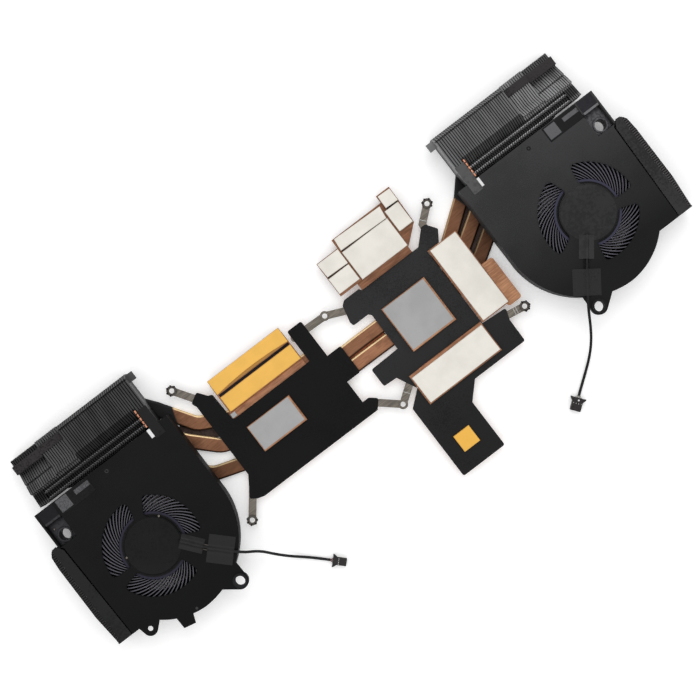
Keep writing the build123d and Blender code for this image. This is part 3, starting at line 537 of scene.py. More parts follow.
finishes = {
    "pipe": pipeFinish(),
    "plate": copperFinish("plateCopper", srgb(152, 108, 80), srgb(198, 148, 114)),
    "pipeGapShade": speckFinish("pipeGapShadeStrip", srgb(62, 50, 46), 0.6, 900, 0.00002),
    "seam": speckFinish("seamCopper", srgb(124, 70, 46), 0.5, 900, 0.00002, 0.6),
    "sheet": copperFinish("sheetCopper", srgb(132, 92, 70), srgb(178, 128, 98), radians(90)),
    # a darker copy of the sheet copper for the regulator plate: painted shade
    "sheetShaded": copperFinish("sheetShadedCopper", srgb(108, 75, 58), srgb(150, 107, 82), radians(90)),
    "bareFin": copperFinish("bareFinCopper", srgb(200, 132, 100), srgb(236, 172, 140)),
    # Left and right copies: the right film, housing, fins, combs, entry tape and rotor hub are
    # paler than the left ones, painted light as if the right blower stood in more light. The fades
    # are painted light too, brightening both housings and the right film rearwards, a sheen on the
    # film.
    "filmLeft": speckFinish("filmLeft", srgb(16, 16, 17), 0.55, 1900, 0.00003),
    "filmRight": speckFinish("filmRight", srgb(33, 33, 34), 0.55, 1900, 0.00003,
                             paintedLightFade=(-45, 8, 0.8, 1.5)),
    "housingLeft": speckFinish("housingLeft", srgb(19, 19, 20), 0.58, 2300, 0.00004,
                               paintedLightFade=(-33, 30, 0.6, 0.95)),
    "housingRight": speckFinish("housingRight", srgb(46, 46, 47), 0.58, 2300, 0.00004,
                                contrast=0.16, paintedLightFade=(-26, 32, 0.32, 1.42)),
    "cover": speckFinish("coverBlack", srgb(34, 34, 35), 0.45, 900, 0.00003, 0.3),
    "finLeft": finFinish("finLacquerLeft", srgb(68, 68, 69), srgb(15, 15, 15)),
    "finRight": finFinish("finLacquerRight", srgb(108, 108, 109), srgb(14, 14, 14)),
    "combLeft": combFinish("combLeft", srgb(46, 45, 45), srgb(5, 5, 5)),
    "combRight": combFinish("combRight", srgb(69, 67, 67), srgb(6, 6, 6)),
    "amberShade": padFinish("amberShade", srgb(176, 130, 66)),
    "padShade": speckFinish("padShade", srgb(66, 50, 42), 0.8, 900, 0.00002),
    "foam": speckFinish("foamBlack", srgb(47, 45, 45), 0.95, 1500, 0.00012, contrast=0.4),
    "entryLeft": speckFinish("entryLeft", srgb(31, 30, 30), 0.3, 500, 0.00001, contrast=0.2),
    "entryRight": speckFinish("entryRight", srgb(80, 80, 80), 0.3, 500, 0.00001, contrast=0.15),
    "steel": brushedFinish("springSteel", srgb(120, 114, 106), 0.42, radians(35)),
    "brightSteel": brushedFinish("brightSteel", srgb(190, 190, 188), 0.3, 0.0),
    "amber": padFinish("amberPad", srgb(244, 190, 92)),
    "amberDeep": padFinish("amberTailPad", srgb(242, 185, 82)),
    "white": padFinish("whitePad", srgb(237, 233, 224)),
    "paste": padFinish("greyPaste", srgb(169, 169, 169), 0.5),
    "ring": speckFinish("ringBlack", srgb(80, 76, 72), 0.5, 1200, 0.00003),
    "rubber": speckFinish("grommetBlack", srgb(30, 30, 31), 0.7, 1500, 0.00004),
    "rotorLeft": rotorFinish("rotorLeft", srgb(92, 90, 97), srgb(46, 45, 58)),
    "rotorRight": rotorFinish("rotorRight", srgb(92, 90, 98), srgb(62, 61, 78)),
    "dark": speckFinish("darkMetal", srgb(30, 30, 31), 0.5, 1200, 0.00003, 0.5),
    "coil": copperFinish("coilCopper", srgb(120, 70, 45), srgb(170, 105, 70)),
    "bronze": brushedFinish("bearingBronze", srgb(150, 120, 80), 0.4, 0.0),
    "lead": speckFinish("leadSleeve", srgb(30, 30, 31), 0.45, 2500, 0.00005, contrast=0.4),
    "plug": speckFinish("plugBlack", srgb(46, 44, 44), 0.4, 1400, 0.00003),
    "label": speckFinish("labelBlack", srgb(24, 24, 25), 0.45, 1600, 0.00002, contrast=0.2),
    "print": speckFinish("labelPrint", srgb(84, 84, 86), 0.45, 1800, 0.00002, contrast=0.3),
    "paper": speckFinish("whiteTab", srgb(226, 226, 226), 0.6, 1800, 0.00002, contrast=0.05),
}
# Finishes of which each blower has its own tone: the materials' name, the left and the right tone,
# roughness, scale and depth of the grain, and contrast. A paler right tone is painted light, as if
# the right blower stood in more light.
pairedFinishes = {
    "lip": ("lip", (52, 52, 54), (104, 104, 106), 0.4, 1200, 0.00002, 0.25),
    "pocket": ("pocket", (54, 54, 57), (88, 88, 91), 0.4, 800, 0.00002, 0.3),
    "corner": ("corner", (27, 27, 30), (40, 40, 44), 0.28, 700, 0.00001, 0.1),
    "tabs": ("tabs", (102, 102, 104), (160, 160, 162), 0.4, 1200, 0.00002, 0.25),
    "dimTabs": ("dimTabs", (54, 53, 54), (66, 64, 66), 0.5, 1200, 0.00002, 0.25),
    "strip": ("strip", (31, 31, 32), (47, 46, 47), 0.42, 1200, 0.00002, 0.25),
    "edge": ("edgeTape", (38, 37, 37), (41, 40, 40), 0.3, 1300, 0.00002, 0.2),
    "motor": ("motorTape", (38, 37, 37), (50, 50, 50), 0.25, 260, 0.00001, 0.15),
    "fan": ("fanWires", (108, 84, 82), (128, 126, 118), 0.5, 1500, 0.00001, 0.25),
    "wire": ("wire", (74, 70, 66), (24, 24, 24), 0.4, 1500, 0.00001, 0.25),
    "seat": ("motorSeat", (22, 22, 23), (44, 44, 45), 0.4, 700, 0.00003, 0.15),
}
for key, (material, leftTone, rightTone, *texture, contrast) in pairedFinishes.items():
    for shade, tone in (("Left", leftTone), ("Right", rightTone)):
        finishes[key + shade] = speckFinish(material + shade, srgb(*tone), *texture,
                                            contrast=contrast)
print("finishes made", len(finishes))


def dress(finishName, *nodeNames):
    for nodeName in nodeNames:
        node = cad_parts[nodeName]
        if not node.material_slots:
            node.data.materials.append(finishes[finishName])
        for holder in node.material_slots:
            holder.material = finishes[finishName]


dress("pipe", "left_heat_pipe", "right_heat_pipe", "front_shared_pipe", "rear_shared_pipe")
dress("plate", "cpu_cold_plate", "gpu_cold_plate", "cpu_contact_block", "gpu_contact_block")
dress("sheet", "gpu_memory_plates", "cpu_regulator_tray")
dress("sheetShaded", "gpu_regulator_plate")
dress("filmLeft", "cpu_film")
dress("filmRight", "gpu_film")
dress("steel", *[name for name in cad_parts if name.endswith("_arm")])
dress("ring", "retaining_rings")
dress("rubber", "ear_grommets")
for side in ("left", "right"):
    shade = side.capitalize()
    dress("housing" + shade, f"{side}_fan_housing")
    dress("cover", f"{side}_fan_cover")
    dress("fin" + shade, f"{side}_rear_fin_stack", f"{side}_side_fin_stack")
    dress("strip" + shade, f"{side}_side_tape")
    dress("entry" + shade, f"{side}_entry_tape")
    dress("rotor" + shade, f"{side}_impeller")
    dress("dark", f"{side}_magnet_ring")
    dress("brightSteel", f"{side}_shaft")
    dress("bronze", f"{side}_bearing_sleeve")
    dress("coil", f"{side}_stator")

# Pads and paste prints
padLook = {
    "filmTop": 3.55, "blockTop": 4.6, "stepTop": 4.4, "highStep": 5.1, "trayLow": 4.0,
    "trayHigh": 4.8, "thick": 0.9, "paste": 0.15,
}
thick, high, step = padLook["thick"], padLook["highStep"], padLook["stepTop"]
trayLow, trayHigh = padLook["trayLow"], padLook["trayHigh"]


def padPiece(name, finishName, slotName, stands, *slabs):
    piece = trim(name, finishName, slotName, *slabs, stands=[stands], mend=False)


padPiece("regulatorPadsAmber", "amber", "pad_amber", "cpu_regulator_pads",
         slab(boxCorners(-60.2, 22.7, -19.7, 30.8), trayLow, thick),
         slab(boxCorners(-60.4, 32.5, -19.6, 40.2), trayHigh, thick, bow=1.3, crown=0.05))
# a dark strip in the groove between the two amber pads: painted shade
trim("trayGrooveShade", "dark", "copper",
     sheet((-60.0, 30.95, -19.9, 32.2), trayLow, 0.05, 0.05, (20, 6)), mend=False)
trim("padUnderside", "amberShade", "pad_amber",
     sheet((-60.1, 32.45, -19.9, 34.2), trayHigh, 0.25, 0.2, (20, 6)), mend=False)
padPiece(
    "regulatorPadsWhite", "white", "pad_white", "gpu_regulator_pads",
    slab(boxCorners(12.4, 35.2, 24.0, 43.8), high, thick, ripple=0.03, counts=(24, 20)),
    slab([(12.6, 44.7), (24.1, 44.3), (24.2, 52.2), (12.4, 52.3)], high, thick, lift=0.7,
         counts=(24, 24)),
    slab(boxCorners(24.8, 34.2, 50.9, 49.9), step, thick, ripple=0.03),
    slab([(25.0, 50.7), (50.6, 50.0), (51.5, 56.2), (25.6, 56.9)], step, thick, lift=1.1),
    slab(boxCorners(51.8, 41.4, 59.5, 52.9), step, thick, ripple=0.03, counts=(24, 24)),
    slab([(53.2, 53.7), (59.9, 53.4), (60.0, 60.0), (53.4, 60.2)], high, thick, lift=0.6,
         counts=(24, 24)))
gaps = [((12.7, 43.7, 24.0, 44.9), high), ((25.1, 49.6, 50.7, 50.9), step),
        ((53.3, 52.7, 59.6, 53.9), step + 0.2)]
trim("padGaps", "padShade", "pad_white", *[sheet(box, low, 0.5, 0.1, (20, 6)) for box, low in gaps],
     mend=False)
padPiece("memoryPads", "white", "pad_memory", "gpu_memory_pads",
         slab(boxCorners(57.5, -14.5, 72.0, 25.9), step, thick, ripple=0.04),
         slab([(15.4, -29.8), (55.7, -29.7), (55.6, -15.4), (15.3, -15.5)], step, thick,
              ripple=0.04))
padPiece("tailPad", "amberDeep", "pad_tail", "tail_pad",
         slab(boxCorners(14.1, -57.4, 23.0, -48.5), padLook["filmTop"], thick, counts=(22, 22)))
for name, stands, box in (("pasteProcessor", "cpu_paste", (-58.35, -0.7, -35.25, 12.3)),
                          ("pasteGraphics", "gpu_paste", (23.8, -5.65, 47.15, 17.7))):
    padPiece(name, "paste", "paste", stands,
             sheet(box, padLook["blockTop"], padLook["paste"], 0.4, (48, 26)))
# Solder line between the two shared pipes
trim("pipeSeam", "seam", "copper",
     slab([(-9.0, 8.0), (18.2, 7.9), (18.2, 9.3), (-9.0, 9.3)], 0.9, 0.35, edge=0.2, crown=0.0,
          counts=(30, 8)), mend=False)


def flatBar(path, width, low, height):
    # each section is a rectangle square to the way of the path, width across and height up
    path = np.array(path)
    way = np.gradient(path, axis=0)
    across = np.column_stack([-way[:, 1], way[:, 0]]) / np.hypot(*way.T)[:, None] * width / 2
    corners = [np.column_stack([path + across * turn, np.full(len(path), z)])
               for turn, z in ((-1, low), (1, low), (1, low + height), (-1, low + height))]
    return loft(np.stack(corners, axis=1) * mm)


# Dark strips in the narrow gaps between the heat pipes beside the plates: painted shade, a dark
# sheet where the gaps lie in shadow
pipeGapShadeLook = {"low": 0.2, "height": 0.3, "paths": [
    (2.4, [(63.5, 17.2), (72.0, 22.95), (78.0, 27.1), (84.0, 31.2), (87.0, 33.4)]),
    (2.8, [(64.5, 8.8), (72.0, 13.2), (78.0, 16.9), (84.0, 20.8), (87.0, 22.9)]),
    (4.4, [(-70.5, 18.4), (-74.0, 20.8), (-78.0, 24.2), (-81.0, 27.2), (-84.5, 31.0)]),
]}
pipeGapShades = [flatBar(path, width, pipeGapShadeLook["low"], pipeGapShadeLook["height"]) for width, path in pipeGapShadeLook["paths"]]
trim("pipeGapShadeStrips", "pipeGapShade", "copper", *pipeGapShades, smooth=False)
print("pads made")

# Blower roofs: lips of the inlets, motor seats, screw pockets and small bosses
inletLook = {
    "left": [(-7.0, 95.0), (110.0, 200.0), (241.0, 341.0)],
    "right": [(-10.0, 75.0), (100.0, 200.0), (249.0, 334.0)],
    "arcSteps": 60, "endSteps": 24, "around": 240, "easing": 34,
}
roof = fanLook["roof"]
signs = {"left": -1, "right": 1}


def fanPoint(side, x, y):
    return signs[side] * (fanLook["x"] + x), fanLook["y"] + y


def arc(radius, start, end):
    turn = np.radians(np.linspace(start, end, inletLook["arcSteps"]))
    return np.column_stack([radius * np.cos(turn), radius * np.sin(turn)])


def sectorPath(side, start, end):
    # two arcs and two leaning ends, then the corners are eased by averaging along the path
    slant = fanLook["slant"]
    outer = arc(fanLook["inletOuter"], start + slant, end)
    inner = arc(fanLook["inletInner"], end - slant, start)
    share = np.linspace(0, 1, inletLook["endSteps"])[1:-1, None]
    path = np.concatenate([outer, outer[-1] + (inner[0] - outer[-1]) * share,
                           inner, inner[-1] + (outer[0] - inner[-1]) * share])
    length = np.concatenate([[0], np.cumsum(np.hypot(*(np.roll(path, -1, 0) - path).T))])
    even = np.linspace(0, length[-1], inletLook["around"], endpoint=False)
    closed = np.vstack([path, path[:1]])
    path = np.column_stack([np.interp(even, length, closed[:, n]) for n in (0, 1)])
    for _ in range(inletLook["easing"]):
        path = (np.roll(path, 1, 0) + 2 * path + np.roll(path, -1, 0)) / 4
    return np.column_stack(fanPoint(side, *path.T))


def rim(path):
    # a low rounded lip that follows a closed path on the roof, outside the opening
    width, height = fanLook["rimWidth"], fanLook["rimHeight"]
    way = np.roll(path, -1, 0) - np.roll(path, 1, 0)
    normal = np.column_stack([way[:, 1], -way[:, 0]]) / np.hypot(*way.T)[:, None]
    if np.sum(normal * (path - path.mean(0))) < 0:
        normal = -normal
    shape = [(0.02, 0.0), (0.02, 0.7), (0.3, 1.0), (0.7, 1.0), (1.0, 0.5), (1.0, 0.0)]
    points = [np.column_stack([path + normal * width * across,
                               np.full(len(path), roof + height * up)]) for across, up in shape]
    return np.array(points) * mm, gridFaces(len(shape), len(path), closedRows=True,
                                            closedColumns=True)


pocketLook = {
    "box": (24.7, 24.8, 33.7, 36.5), "hole": (29.3, 28.3), "radius": 2.7, "thick": 0.08,
    # the shoulder round the hole: distance out from its wall and height over the floor
    "shoulder": [(0.03, 0), (0.03, 0.45), (0.15, 0.6), (0.75, 0.6), (0.9, 0.4), (0.9, 0)],
}


def pocketFloor(side):
    # a pale sheet on the floor of the screw pocket, painted light that lifts its shade: rays from
    # the hole's circle to the pocket's rectangle, where a ray ends at the nearest wall, and the
    # sheet has a top, an underside and closed rims
    left, front, right, rear = pocketLook["box"]
    holeX, holeY = pocketLook["hole"]
    turn = np.linspace(0, 2 * np.pi, 96, endpoint=False)
    walls = []
    for part, far, near in ((np.cos(turn), right - holeX, left - holeX),
                            (np.sin(turn), rear - holeY, front - holeY)):
        walls.append(np.where(part > 0, far, near) / np.where(np.abs(part) < 1e-6, 1e-6, part))
    reach = np.minimum(*np.abs(walls))
    start = pocketLook["radius"] + 0.03
    low = fanLook["recessFloor"]
    top = low + pocketLook["thick"]
    rings = []
    for share, z in ((0, low), (0, top), (0.5, top), (1, top), (1, low)):
        radius = start + (reach - start) * share
        spots = fanPoint(side, holeX + radius * np.cos(turn), holeY + radius * np.sin(turn))
        rings.append(np.column_stack([*spots, np.full(len(turn), z)]))
    return np.array(rings) * mm, gridFaces(len(rings), len(turn), closedRows=True,
                                           closedColumns=True)


for side in signs:
    shade = side.capitalize()
    trim(f"{side}InletRims", "housing" + shade, "housing_plastic",
         *[rim(sectorPath(side, *angles)) for angles in inletLook[side]])
    seat = fanLook["seat"]
    trim(f"{side}MotorSeat", "seat" + shade, "housing_plastic",
         lathe([(0.01, roof), (seat, roof), (seat, roof + 0.05), (seat - 0.1, roof + 0.1),
                (6.0, roof + 0.1), (5.6, roof + 0.04), (0.01, roof + 0.04)],
               fanPoint(side, 0, 0), 96))
    shoulder = [(pocketLook["radius"] + out, fanLook["recessFloor"] + up)
                for out, up in pocketLook["shoulder"]]
    # the pale pocket tone is painted light on the pocket floor and on the shoulder round the hole
    trim(f"{side}PocketLining", "pocket" + shade, "housing_plastic", pocketFloor(side),
         ringLathe(shoulder, fanPoint(side, *pocketLook["hole"]), 48))
    bosses = [ringLathe([(0.45, roof), (0.5, roof + 0.1), (0.85, roof + 0.1), (1.0, roof)],
                        fanPoint(side, -3.9, 39.6), 28)]
    if side == "left":
        bosses.append(lathe([(0.01, roof), (0.7, roof), (0.65, roof + 0.12), (0.4, roof + 0.18),
                             (0.01, roof + 0.2)], fanPoint(side, 1.3, -34.6), 24))
    # painted light and shade: the left bosses take the pale lip tone, the right ones the dark wire
    # tone
    trim(f"{side}RoofBosses", "lipLeft" if side == "left" else "wireRight", "housing_plastic",
         *bosses)

trim("leftHubPins", "steel", "steel",
     *[lathe([(0.01, roof), (0.6, roof), (0.5, roof + 0.25), (0.01, roof + 0.3)], spot, 20)
       for spot in ((-113.9, 4.9), (-137.0, -1.4))])
trim("leftCornerPin", "steel", "steel",
     lathe([(0.01, 8.8), (0.5, 8.8), (0.5, 9.6), (0.4, 9.8), (0.01, 9.85)], (-156.0, 28.9), 24))

lipLook = {"left": (-157.4, 31.9, -149.3, 33.0), "right": (149.7, 31.9, 157.8, 33.0),
           "patchRear": 38.8}
for side in signs:
    shade, box = side.capitalize(), lipLook[side]
    # a pale strip along the top edge of each screw recess: a painted highlight on its sloped face
    trim(f"{side}RecessLip", "lip" + shade, "housing_plastic",
         sheet(box, roof, 0.06, 0.1, (20, 8)), mend=False)
    trim(f"{side}CornerPatch", "corner" + shade, "housing_plastic",
         sheet((box[0], box[3] + 0.1, box[2], lipLook["patchRear"]), roof, 0.05, 0.1, (20, 12)),
         mend=False)

for side, sign in signs.items():
    edgeY, edgeX = np.array(combLook["edge"]).T
    steps = np.arange(edgeY[0], edgeY[-1], combLook["pitch"] / 10)
    outer = np.interp(steps, edgeY, edgeX)
    phase = ((steps - edgeY[0]) / combLook["pitch"]) % 1
    inner, low = (np.full(len(steps), combLook[key]) for key in ("inner", "low"))
    rise = low + combLook["height"] * (phase < combLook["ribShare"])
    x = np.stack([inner, inner, outer, outer])
    z = np.stack([low - 0.01, rise, rise, low - 0.01])
    sections = np.stack([sign * (fanLook["x"] + x), np.tile(fanLook["y"] + steps, (4, 1)), z], -1)
    trim(f"{side}SideComb", "comb" + side.capitalize(), "fin_black",
         loft(sections.transpose(1, 0, 2) * mm), smooth=False)
print("roof details made")

# Labels: a dark patch with a plain pale square and a plain pale bar, and white tabs by the entry
labelLook = {
    "left": {"patch": (-147.9, 31.5, -129.2, 39.1), "square": (-147.6, 32.4, -141.4, 38.7),
             "bar": (-137.8, 35.2, -129.8, 37.6), "tab": (-95.0, 34.6, -93.3, 39.0)},
    "right": {"patch": (130.2, 31.3, 149.0, 38.8), "square": (130.9, 32.1, 136.9, 38.2),
              "bar": (140.5, 35.1, 148.7, 37.2), "tab": (92.9, 34.4, 94.5, 38.9)},
}
for name, finishName, parts, low, height, edge, counts, stands in (
        ("fanLabels", "label", ["patch"], roof, 0.1, 0.12, (20, 12), ["fan_labels"]),
        ("labelFields", "print", ["square", "bar"], roof + 0.1, 0.03, 0.08, (14, 10), ()),
        ("whiteTabs", "paper", ["tab"], roof, 0.08, 0.08, (10, 12), ())):
    trim(name, finishName, "label", *[sheet(labelLook[side][part], low, height, edge, counts)
                                      for side in labelLook for part in parts],
         stands=stands, mend=False)
print("labels made")

# Rear fin stacks: pale folded tabs in two rows, painted highlights on the tab crests with a dimmer
# copy beside each row, one bare copper fin and foam strips
stackLook = {
    "front": 39.6, "tape": 93.2, "plain": 149.2, "pitch": 1.15, "rows": (1.6, 4.9),
    "rowTop": 11.7, "tabWidth": 0.72, "tabDepth": 0.42, "tabHeight": 0.16,
}


def tabRow(sign, distance):
    # one small bevelled tab per fin: all corners are offsets from the fin's place along X
    start, pitch, width = stackLook["tape"], stackLook["pitch"], stackLook["tabWidth"]
    fins = start + pitch * np.arange(int((stackLook["plain"] - start) / pitch))
    size = np.array([width / 2, stackLook["tabDepth"] / 2, stackLook["tabHeight"]])
    corners = size * [(-1, -1, 0), (1, -1, 0), (1, 1, 0), (-1, 1, 0),
                      (-0.8, -0.6, 1), (0.8, -0.6, 1), (0.8, 0.6, 1), (-0.8, 0.6, 1)]
    centres = np.column_stack([sign * (fins + width / 2 + 0.04),
                               np.full(len(fins), stackLook["front"] + distance),
                               np.full(len(fins), stackLook["rowTop"])])
    points = (centres[:, None, :] + corners[None]) * mm
    quads = np.array([(0, 3, 2, 1), (4, 5, 6, 7), (0, 1, 5, 4), (1, 2, 6, 5), (2, 3, 7, 6),
                      (3, 0, 4, 7)])
    return points, (np.arange(len(fins))[:, None, None] * 8 + quads).reshape(-1, 4).tolist()


# Foam: the span along X and its stations, front, rear and top, then the height of the underside
# at fallFrom and how far it falls for each millimetre rearwards of that, as the fins do
foamLook = {"round": 0.3, "fallFrom": 58.0, "zones": [
    (127.6, 139.75, 24, 59.4, 63.2, 10.4, 9.4, 0.0),
    (139.85, 154.4, 28, 58.6, 62.9, 9.6, 6.62, 0.1266),
]}


def foamStrip(sign, start, end, count, front, rear, top, low, fall):
    # six edges along X, where three of the upper four waver by 0.05 times the sine of 2.1 X
    x = np.linspace(start, end, count)
    even, waver, soft = 0 * x, 0.05 * np.sin(x * 2.1), foamLook["round"]
    lowFront, lowRear = [low - fall * (edge - foamLook["fallFrom"]) for edge in (front, rear)]
    y = [even + front, even + rear, rear + waver, even + rear - soft, even + front + soft,
         front + waver]
    z = [even + lowFront, even + lowRear, even + top - soft, even + top, top + waver,
         even + top - soft]
    return loft(np.stack([np.tile(sign * x, (6, 1)), y, z]).transpose(2, 1, 0) * mm)


# The bare fin shows its copper edge as a row of short flats with notches between them
bareLook = {"from": 93.3, "to": 94.35, "ys": np.arange(39.9, 48.0, 1.98), "length": 1.75,
            "low": 9.85, "height": 2.2}
for side, sign in signs.items():
    # the tab tones are painted highlights, one bright and one dim
    for name, finishName, shift in (("FinTabs", "tabs", 0.42), ("DullFinTabs", "dimTabs", -0.5)):
        trim(f"{side}{name}", finishName + side.capitalize(), "fin_black",
             *[tabRow(sign, row + shift) for row in stackLook["rows"]], smooth=False)
    strips = [foamStrip(sign, *zone) for zone in foamLook["zones"]]
    foam = trim(f"{side}Foam", "foam", "foam", *strips, stands=[f"{side}_foam_strip"],
                smooth=False)
    left, right = sorted((sign * bareLook["from"], sign * bareLook["to"]))
    flats = [sheet((left, y, right, y + bareLook["length"]), bareLook["low"],
                   bareLook["height"], 0.12, (8, 8)) for y in bareLook["ys"]]
    trim(f"{side}BareFin", "bareFin", "copper", *flats, mend=False)
print("fin details made")

# Tapes over the leads: flat on the roof, raised in a smooth ridge along the lead
tapeLook = {
    "thickness": 0.12, "ridge": 1.5, "ridgeWidth": 1.3,
    "motor": {"length": 11.0, "width": 6.9, "shift": -1.8},
    "edge": {"length": 12.2, "width": 13.0, "shift": -1.4},
}


def tapeSheet(start, end, look):
    # height over the roof falls off from the lead as one over (1 + distance squared) squared
    way, left = wayAcross(start[:2], end[:2])
    centre = np.array(end[:2]) - way * (look["length"] / 2 + look["shift"])
    s, t = np.meshgrid(np.linspace(-0.5, 0.5, 40), np.linspace(-0.5, 0.5, 61), indexing="ij")
    along, across = s * look["length"], t * look["width"]
    ridge = tapeLook["ridge"] / (1 + (across / tapeLook["ridgeWidth"]) ** 2) ** 2
    rest = np.abs(t) * 2
    crease = 0.04 * np.sin(along * 1.7 + across) * (1 - rest ** 4)
    height = roof + 0.02 + ridge * (1 - rest ** 6) + np.abs(crease)
    flat = centre + along[..., None] * way + across[..., None] * left
    return np.concatenate([flat, height[..., None]], axis=-1) * mm, gridFaces(*s.shape)


for side, points in leadPoints.items():
    for n, part in enumerate(("motor", "edge")):
        piece = addPiece(f"{side}{part.capitalize()}Tape",
                         *tapeSheet(points[n + 1], points[n], tapeLook[part]))
        wall = piece.modifiers.new("wall", "SOLIDIFY")
        wall.thickness = tapeLook["thickness"] * mm
        wall.offset = 1.0
        settle(piece, finishes[part + side.capitalize()], [f"{side}_lead_tapes"])


wireLook = {"radius": 0.3, "apart": 1.05, "from": 8.6, "short": 0.8}


def wire(start, end):
    # a short straight bare wire between two points in the plane of the roof
    radius = wireLook["radius"]
    left = wayAcross(start, end)[1]
    turn = np.linspace(0, 2 * np.pi, 10, endpoint=False)
    rings = [np.column_stack([point + radius * np.cos(turn)[:, None] * left,
                              roof + 0.02 + radius + radius * np.sin(turn)])
             for point in (start, (start + end) / 2, end)]
    return loft(np.array(rings) * mm)


for side, points in leadPoints.items():
    first, second = np.array(points[0][:2]), np.array(points[1][:2])
    way, left = wayAcross(first, second)
    last = np.hypot(*(second - first)) - wireLook["short"]
    trim(f"{side}BareWires", "wire" + side.capitalize(), "lead_sleeve",
         *[wire(first + way * wireLook["from"] + left * shift, first + way * last + left * shift)
           for shift in (-wireLook["apart"], wireLook["apart"])])
print("tapes made")

# Plugs: a block in line with each lead's last run, with two swept ears on the lead's side, a row
# of contacts and a fan of fine wires between the lead and the block
plugLook = {
    "low": 0.05, "height": 2.6, "ear": 1.2, "wire": 0.22, "start": 1.1, "fan": (-0.8, 1.6),
    "left": {"end": 7.6, "width": 3.6, "tone": "fanLeft"},
    "right": {"end": 7.4, "width": 4.9, "tone": "fanRight"},
}


def plugFrame(points):
    # a point x along the lead's last way and y across it, from the lead's end
    way, left = wayAcross(points[-2][:2], points[-1][:2])
    return lambda flat: np.array(points[-1][:2]) + flat[..., :1] * way + flat[..., 1:] * left


def prism(place, outline, low, top):
    # a closed outline at four heights, a little smaller at the first and the last
    outline = np.array(outline)
    middle = outline.mean(0)
    rings = []
    for height, share in ((low, 0.96), (low + 0.12, 1.0), (top - 0.12, 1.0), (top, 0.96)):
        flat = place(middle + (outline - middle) * share)
        rings.append(np.column_stack([flat, np.full(len(flat), height)]))
    return loft(np.array(rings) * mm)


def cutBox(left, right, front, rear, cut):
    return [(left + cut, front), (right - cut, front), (right, front + cut), (right, rear - cut),
            (right - cut, rear), (left + cut, rear), (left, rear - cut), (left, front + cut)]


def plugShapes(side, points):
    place, size = plugFrame(points), plugLook[side]
    half, start, end, low = size["width"] / 2, plugLook["start"], size["end"], plugLook["low"]
    top, ear = low + plugLook["height"], plugLook["ear"]
    body = [prism(place, cutBox(start, end, -half, half, 0.3), low, top - 0.3),
            prism(place, cutBox(start + 0.3, start + 2.4, -half + 0.35, half - 0.35, 0.25),
                  top - 0.45, top),
            prism(place, cutBox(start + 3.2, end - 0.3, -half + 0.2, half - 0.2, 0.25),
                  top - 0.45, top - 0.1)]
    for turn in (-1, 1):
        wing = [(start + 0.1, turn * (half - 0.2)), (start - 0.1, turn * (half + ear)),
                (start + 0.5, turn * (half + ear)), (start + 2.3, turn * (half - 0.2))]
        body.append(prism(place, wing, low + 0.5, top - 0.5))
    spots = (np.arange(4) - 1.5) * (size["width"] - 1.2) / 3
    contacts = [prism(place, cutBox(start + 2.55, start + 3.0, y - 0.17, y + 0.17, 0.05),
                      top - 0.35, top - 0.1) for y in spots]
    # each wire eases from the lead's middle to its own place in the block: share squared times
    # (3 less twice the share)
    turn = np.linspace(0, 2 * np.pi, 8, endpoint=False)
    x, share = np.linspace(*plugLook["fan"], 7)[:, None], np.linspace(0, 1, 7)[:, None]
    ease = share ** 2 * (3 - 2 * share)
    height = 0.7 + 0.45 * ease + plugLook["wire"] * np.sin(turn)
    wires = []
    for y in spots:
        flat = np.stack([x + 0 * turn, y * 0.85 * ease + plugLook["wire"] * np.cos(turn)], -1)
        wires.append(loft(np.concatenate([place(flat), height[..., None]], -1) * mm))
    return body, contacts, wires


for side, points in leadPoints.items():
    body, contacts, wires = plugShapes(side, points)
    onLead = [
        trim(f"{side}Plug", "plug", "plug_plastic", *body, stands=[f"{side}_lead_plug"],
             smooth=False),
        trim(f"{side}PlugContacts", "brightSteel", "steel", *contacts, smooth=False),
        trim(f"{side}PlugWires", plugLook[side]["tone"], "lead_sleeve", *wires),
    ]
    if side == "right":
        spot = plugFrame(points)(np.array([2.3, 0.2]))
        onLead.append(trim("rightPlugPip", "paper", "plug_plastic",
                           lathe([(0.01, 2.62), (0.42, 2.62), (0.4, 2.7), (0.01, 2.72)], spot, 20)))
    settle(leads[side], finishes["lead"], [f"{side}_fan_lead"])
print("leads and plugs made")

# Spring arms: steel bushes in the shared holes, and a low bright strip across each arm at its bend,
# a painted highlight
armLook = {"sharedHoles": [(0.85, 31.5), (4.85, -22.7)], "top": 4.0, "bush": (1.2, 2.0)}
(inner, outer), top = armLook["bush"], armLook["top"]
trim("armBushes", "steel", "spring_steel",
     *[ringLathe([(inner + 0.02, top), (inner + 0.05, top + 0.3), (outer - 0.15, top + 0.3),
                  (outer, top + 0.15), (outer, top)], hole, 32) for hole in armLook["sharedHoles"]])
bendLook = {"width": 3.4, "length": 0.3, "height": 0.08,
            "at": [((9.4, -19.4), (4.85, -22.7), 4.0), ((71.6, -19.9), (76.8, -20.8), 3.4),
                   ((72.8, -20.1), (76.8, -20.8), 3.4), ((63.6, 38.9), (69.7, 44.0), 3.4)]}
bends = []
for spot, tip, top in bendLook["at"]:
    way, left = wayAcross(spot, tip)
    ahead, across = way * bendLook["length"] / 2, left * bendLook["width"] / 2
    bends.append(slab([spot - ahead - across, spot + ahead - across, spot + ahead + across,
                       spot - ahead + across], top, bendLook["height"], edge=0.08, crown=0.0,
                      counts=(6, 14)))
# the bright strips are painted highlights at the bends
trim("armBendHighlights", "brightSteel", "spring_steel", *bends)
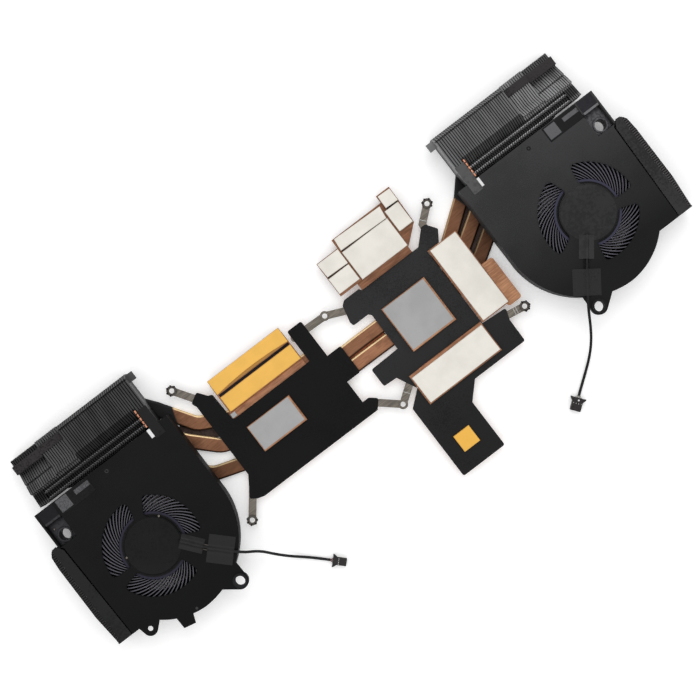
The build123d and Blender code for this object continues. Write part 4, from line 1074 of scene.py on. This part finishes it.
# Dark lugs on the retaining rings, spread about the direction in which each arm points
lugLook = {"inner": 1.75, "outer": 2.72, "halfWidth": 0.36, "top": 4.27, "deep": 0.6,
           "turns": (-105, -60, -8, 48, 96),
           "rings": [((69.7, 44.0), 40), ((76.8, -20.8), -8), ((-76.1, 46.9), 127),
                     ((-82.7, -22.9), 232)]}


def turned(middle, angle):
    # a point turned by an angle about the origin and moved to a ring's middle
    cosine, sine = np.cos(np.radians(angle)), np.sin(np.radians(angle))
    return lambda flat: middle + flat @ np.array([(cosine, sine), (-sine, cosine)])


half, top = lugLook["halfWidth"], lugLook["top"]
lugs = [prism(turned(middle, aim + turn),
              [(lugLook["inner"], -half), (lugLook["outer"], -half), (lugLook["outer"], half),
               (lugLook["inner"], half)], top - lugLook["deep"], top)
        for middle, aim in lugLook["rings"] for turn in lugLook["turns"]]
trim("ringLugs", "dark", "steel", *lugs, smooth=False)
# Small chip at the tray's corner
trim("trayCornerChip", "paste", "paste",
     sheet((-61.2, 19.6, -58.6, 21.9), 4.6, 0.25, 0.2, (12, 10)), mend=False)
print("arm details made")

# Floor, backdrop and light
studio = {"sky": 0.82, "keyEnergy": 3.2, "keyAt": (0.55, 0.75, 1.15), "keySize": 0.9,
          "fillEnergy": 1.6, "fillAt": (-0.7, -0.5, 1.0), "fillSize": 0.9,
          "reach": 3, "floor": -0.0002, "glow": 0.22, "glowFrom": 0.0235, "glowTo": 0.0245}
world = bpy.data.worlds.new("softStudio")
scene.world = world
world.use_nodes = True
sky = world.node_tree.nodes["Background"].inputs
sky["Color"].default_value, sky["Strength"].default_value = (1, 1, 1, 1), studio["sky"]
for lampName in ("key", "fill"):
    lampData = bpy.data.lights.new(lampName + "Lamp", "AREA")
    lampData.energy = studio[lampName + "Energy"]
    lampData.size = studio[lampName + "Size"]
    lamp = link(bpy.data.objects.new(lampName + "Lamp", lampData))
    lamp.location = studio[lampName + "At"]
    away = -np.array(studio[lampName + "At"])
    lamp.rotation_euler = mathutils.Vector(away.tolist()).to_track_quat("-Z", "Y").to_euler()

reach = studio["reach"]
floorPoints = [(*corner, studio["floor"]) for corner in boxCorners(-reach, -reach, reach, reach)]
floorPiece = addPiece("floor", floorPoints, [[0, 1, 2, 3]], smooth=False)
floorFinish, tree, surface, place = startFinish("paleFloor", (0.97, 0.97, 0.97, 1), 0.9)
rays = tree.nodes.new("ShaderNodeLightPath").outputs
seen = rays["Is Camera Ray"]
for kind in ("Is Glossy Ray", "Is Transmission Ray"):
    seen = calc(tree, "MAXIMUM", seen, rays[kind])
# the glow stops under the blowers, near either rotor axis: painted shade on the floor seen through
# the inlets
clear = spread(tree, axisDistance(tree, place), 0, 1, studio["glowFrom"], studio["glowTo"])
surface["Emission Color"].default_value = (1, 1, 1, 1)
glow = spread(tree, calc(tree, "MULTIPLY", seen, clear), 0, studio["glow"], 0, 1)
tree.links.new(glow, surface["Emission Strength"])
floorPiece.data.materials.append(floorFinish)
print("stage set")
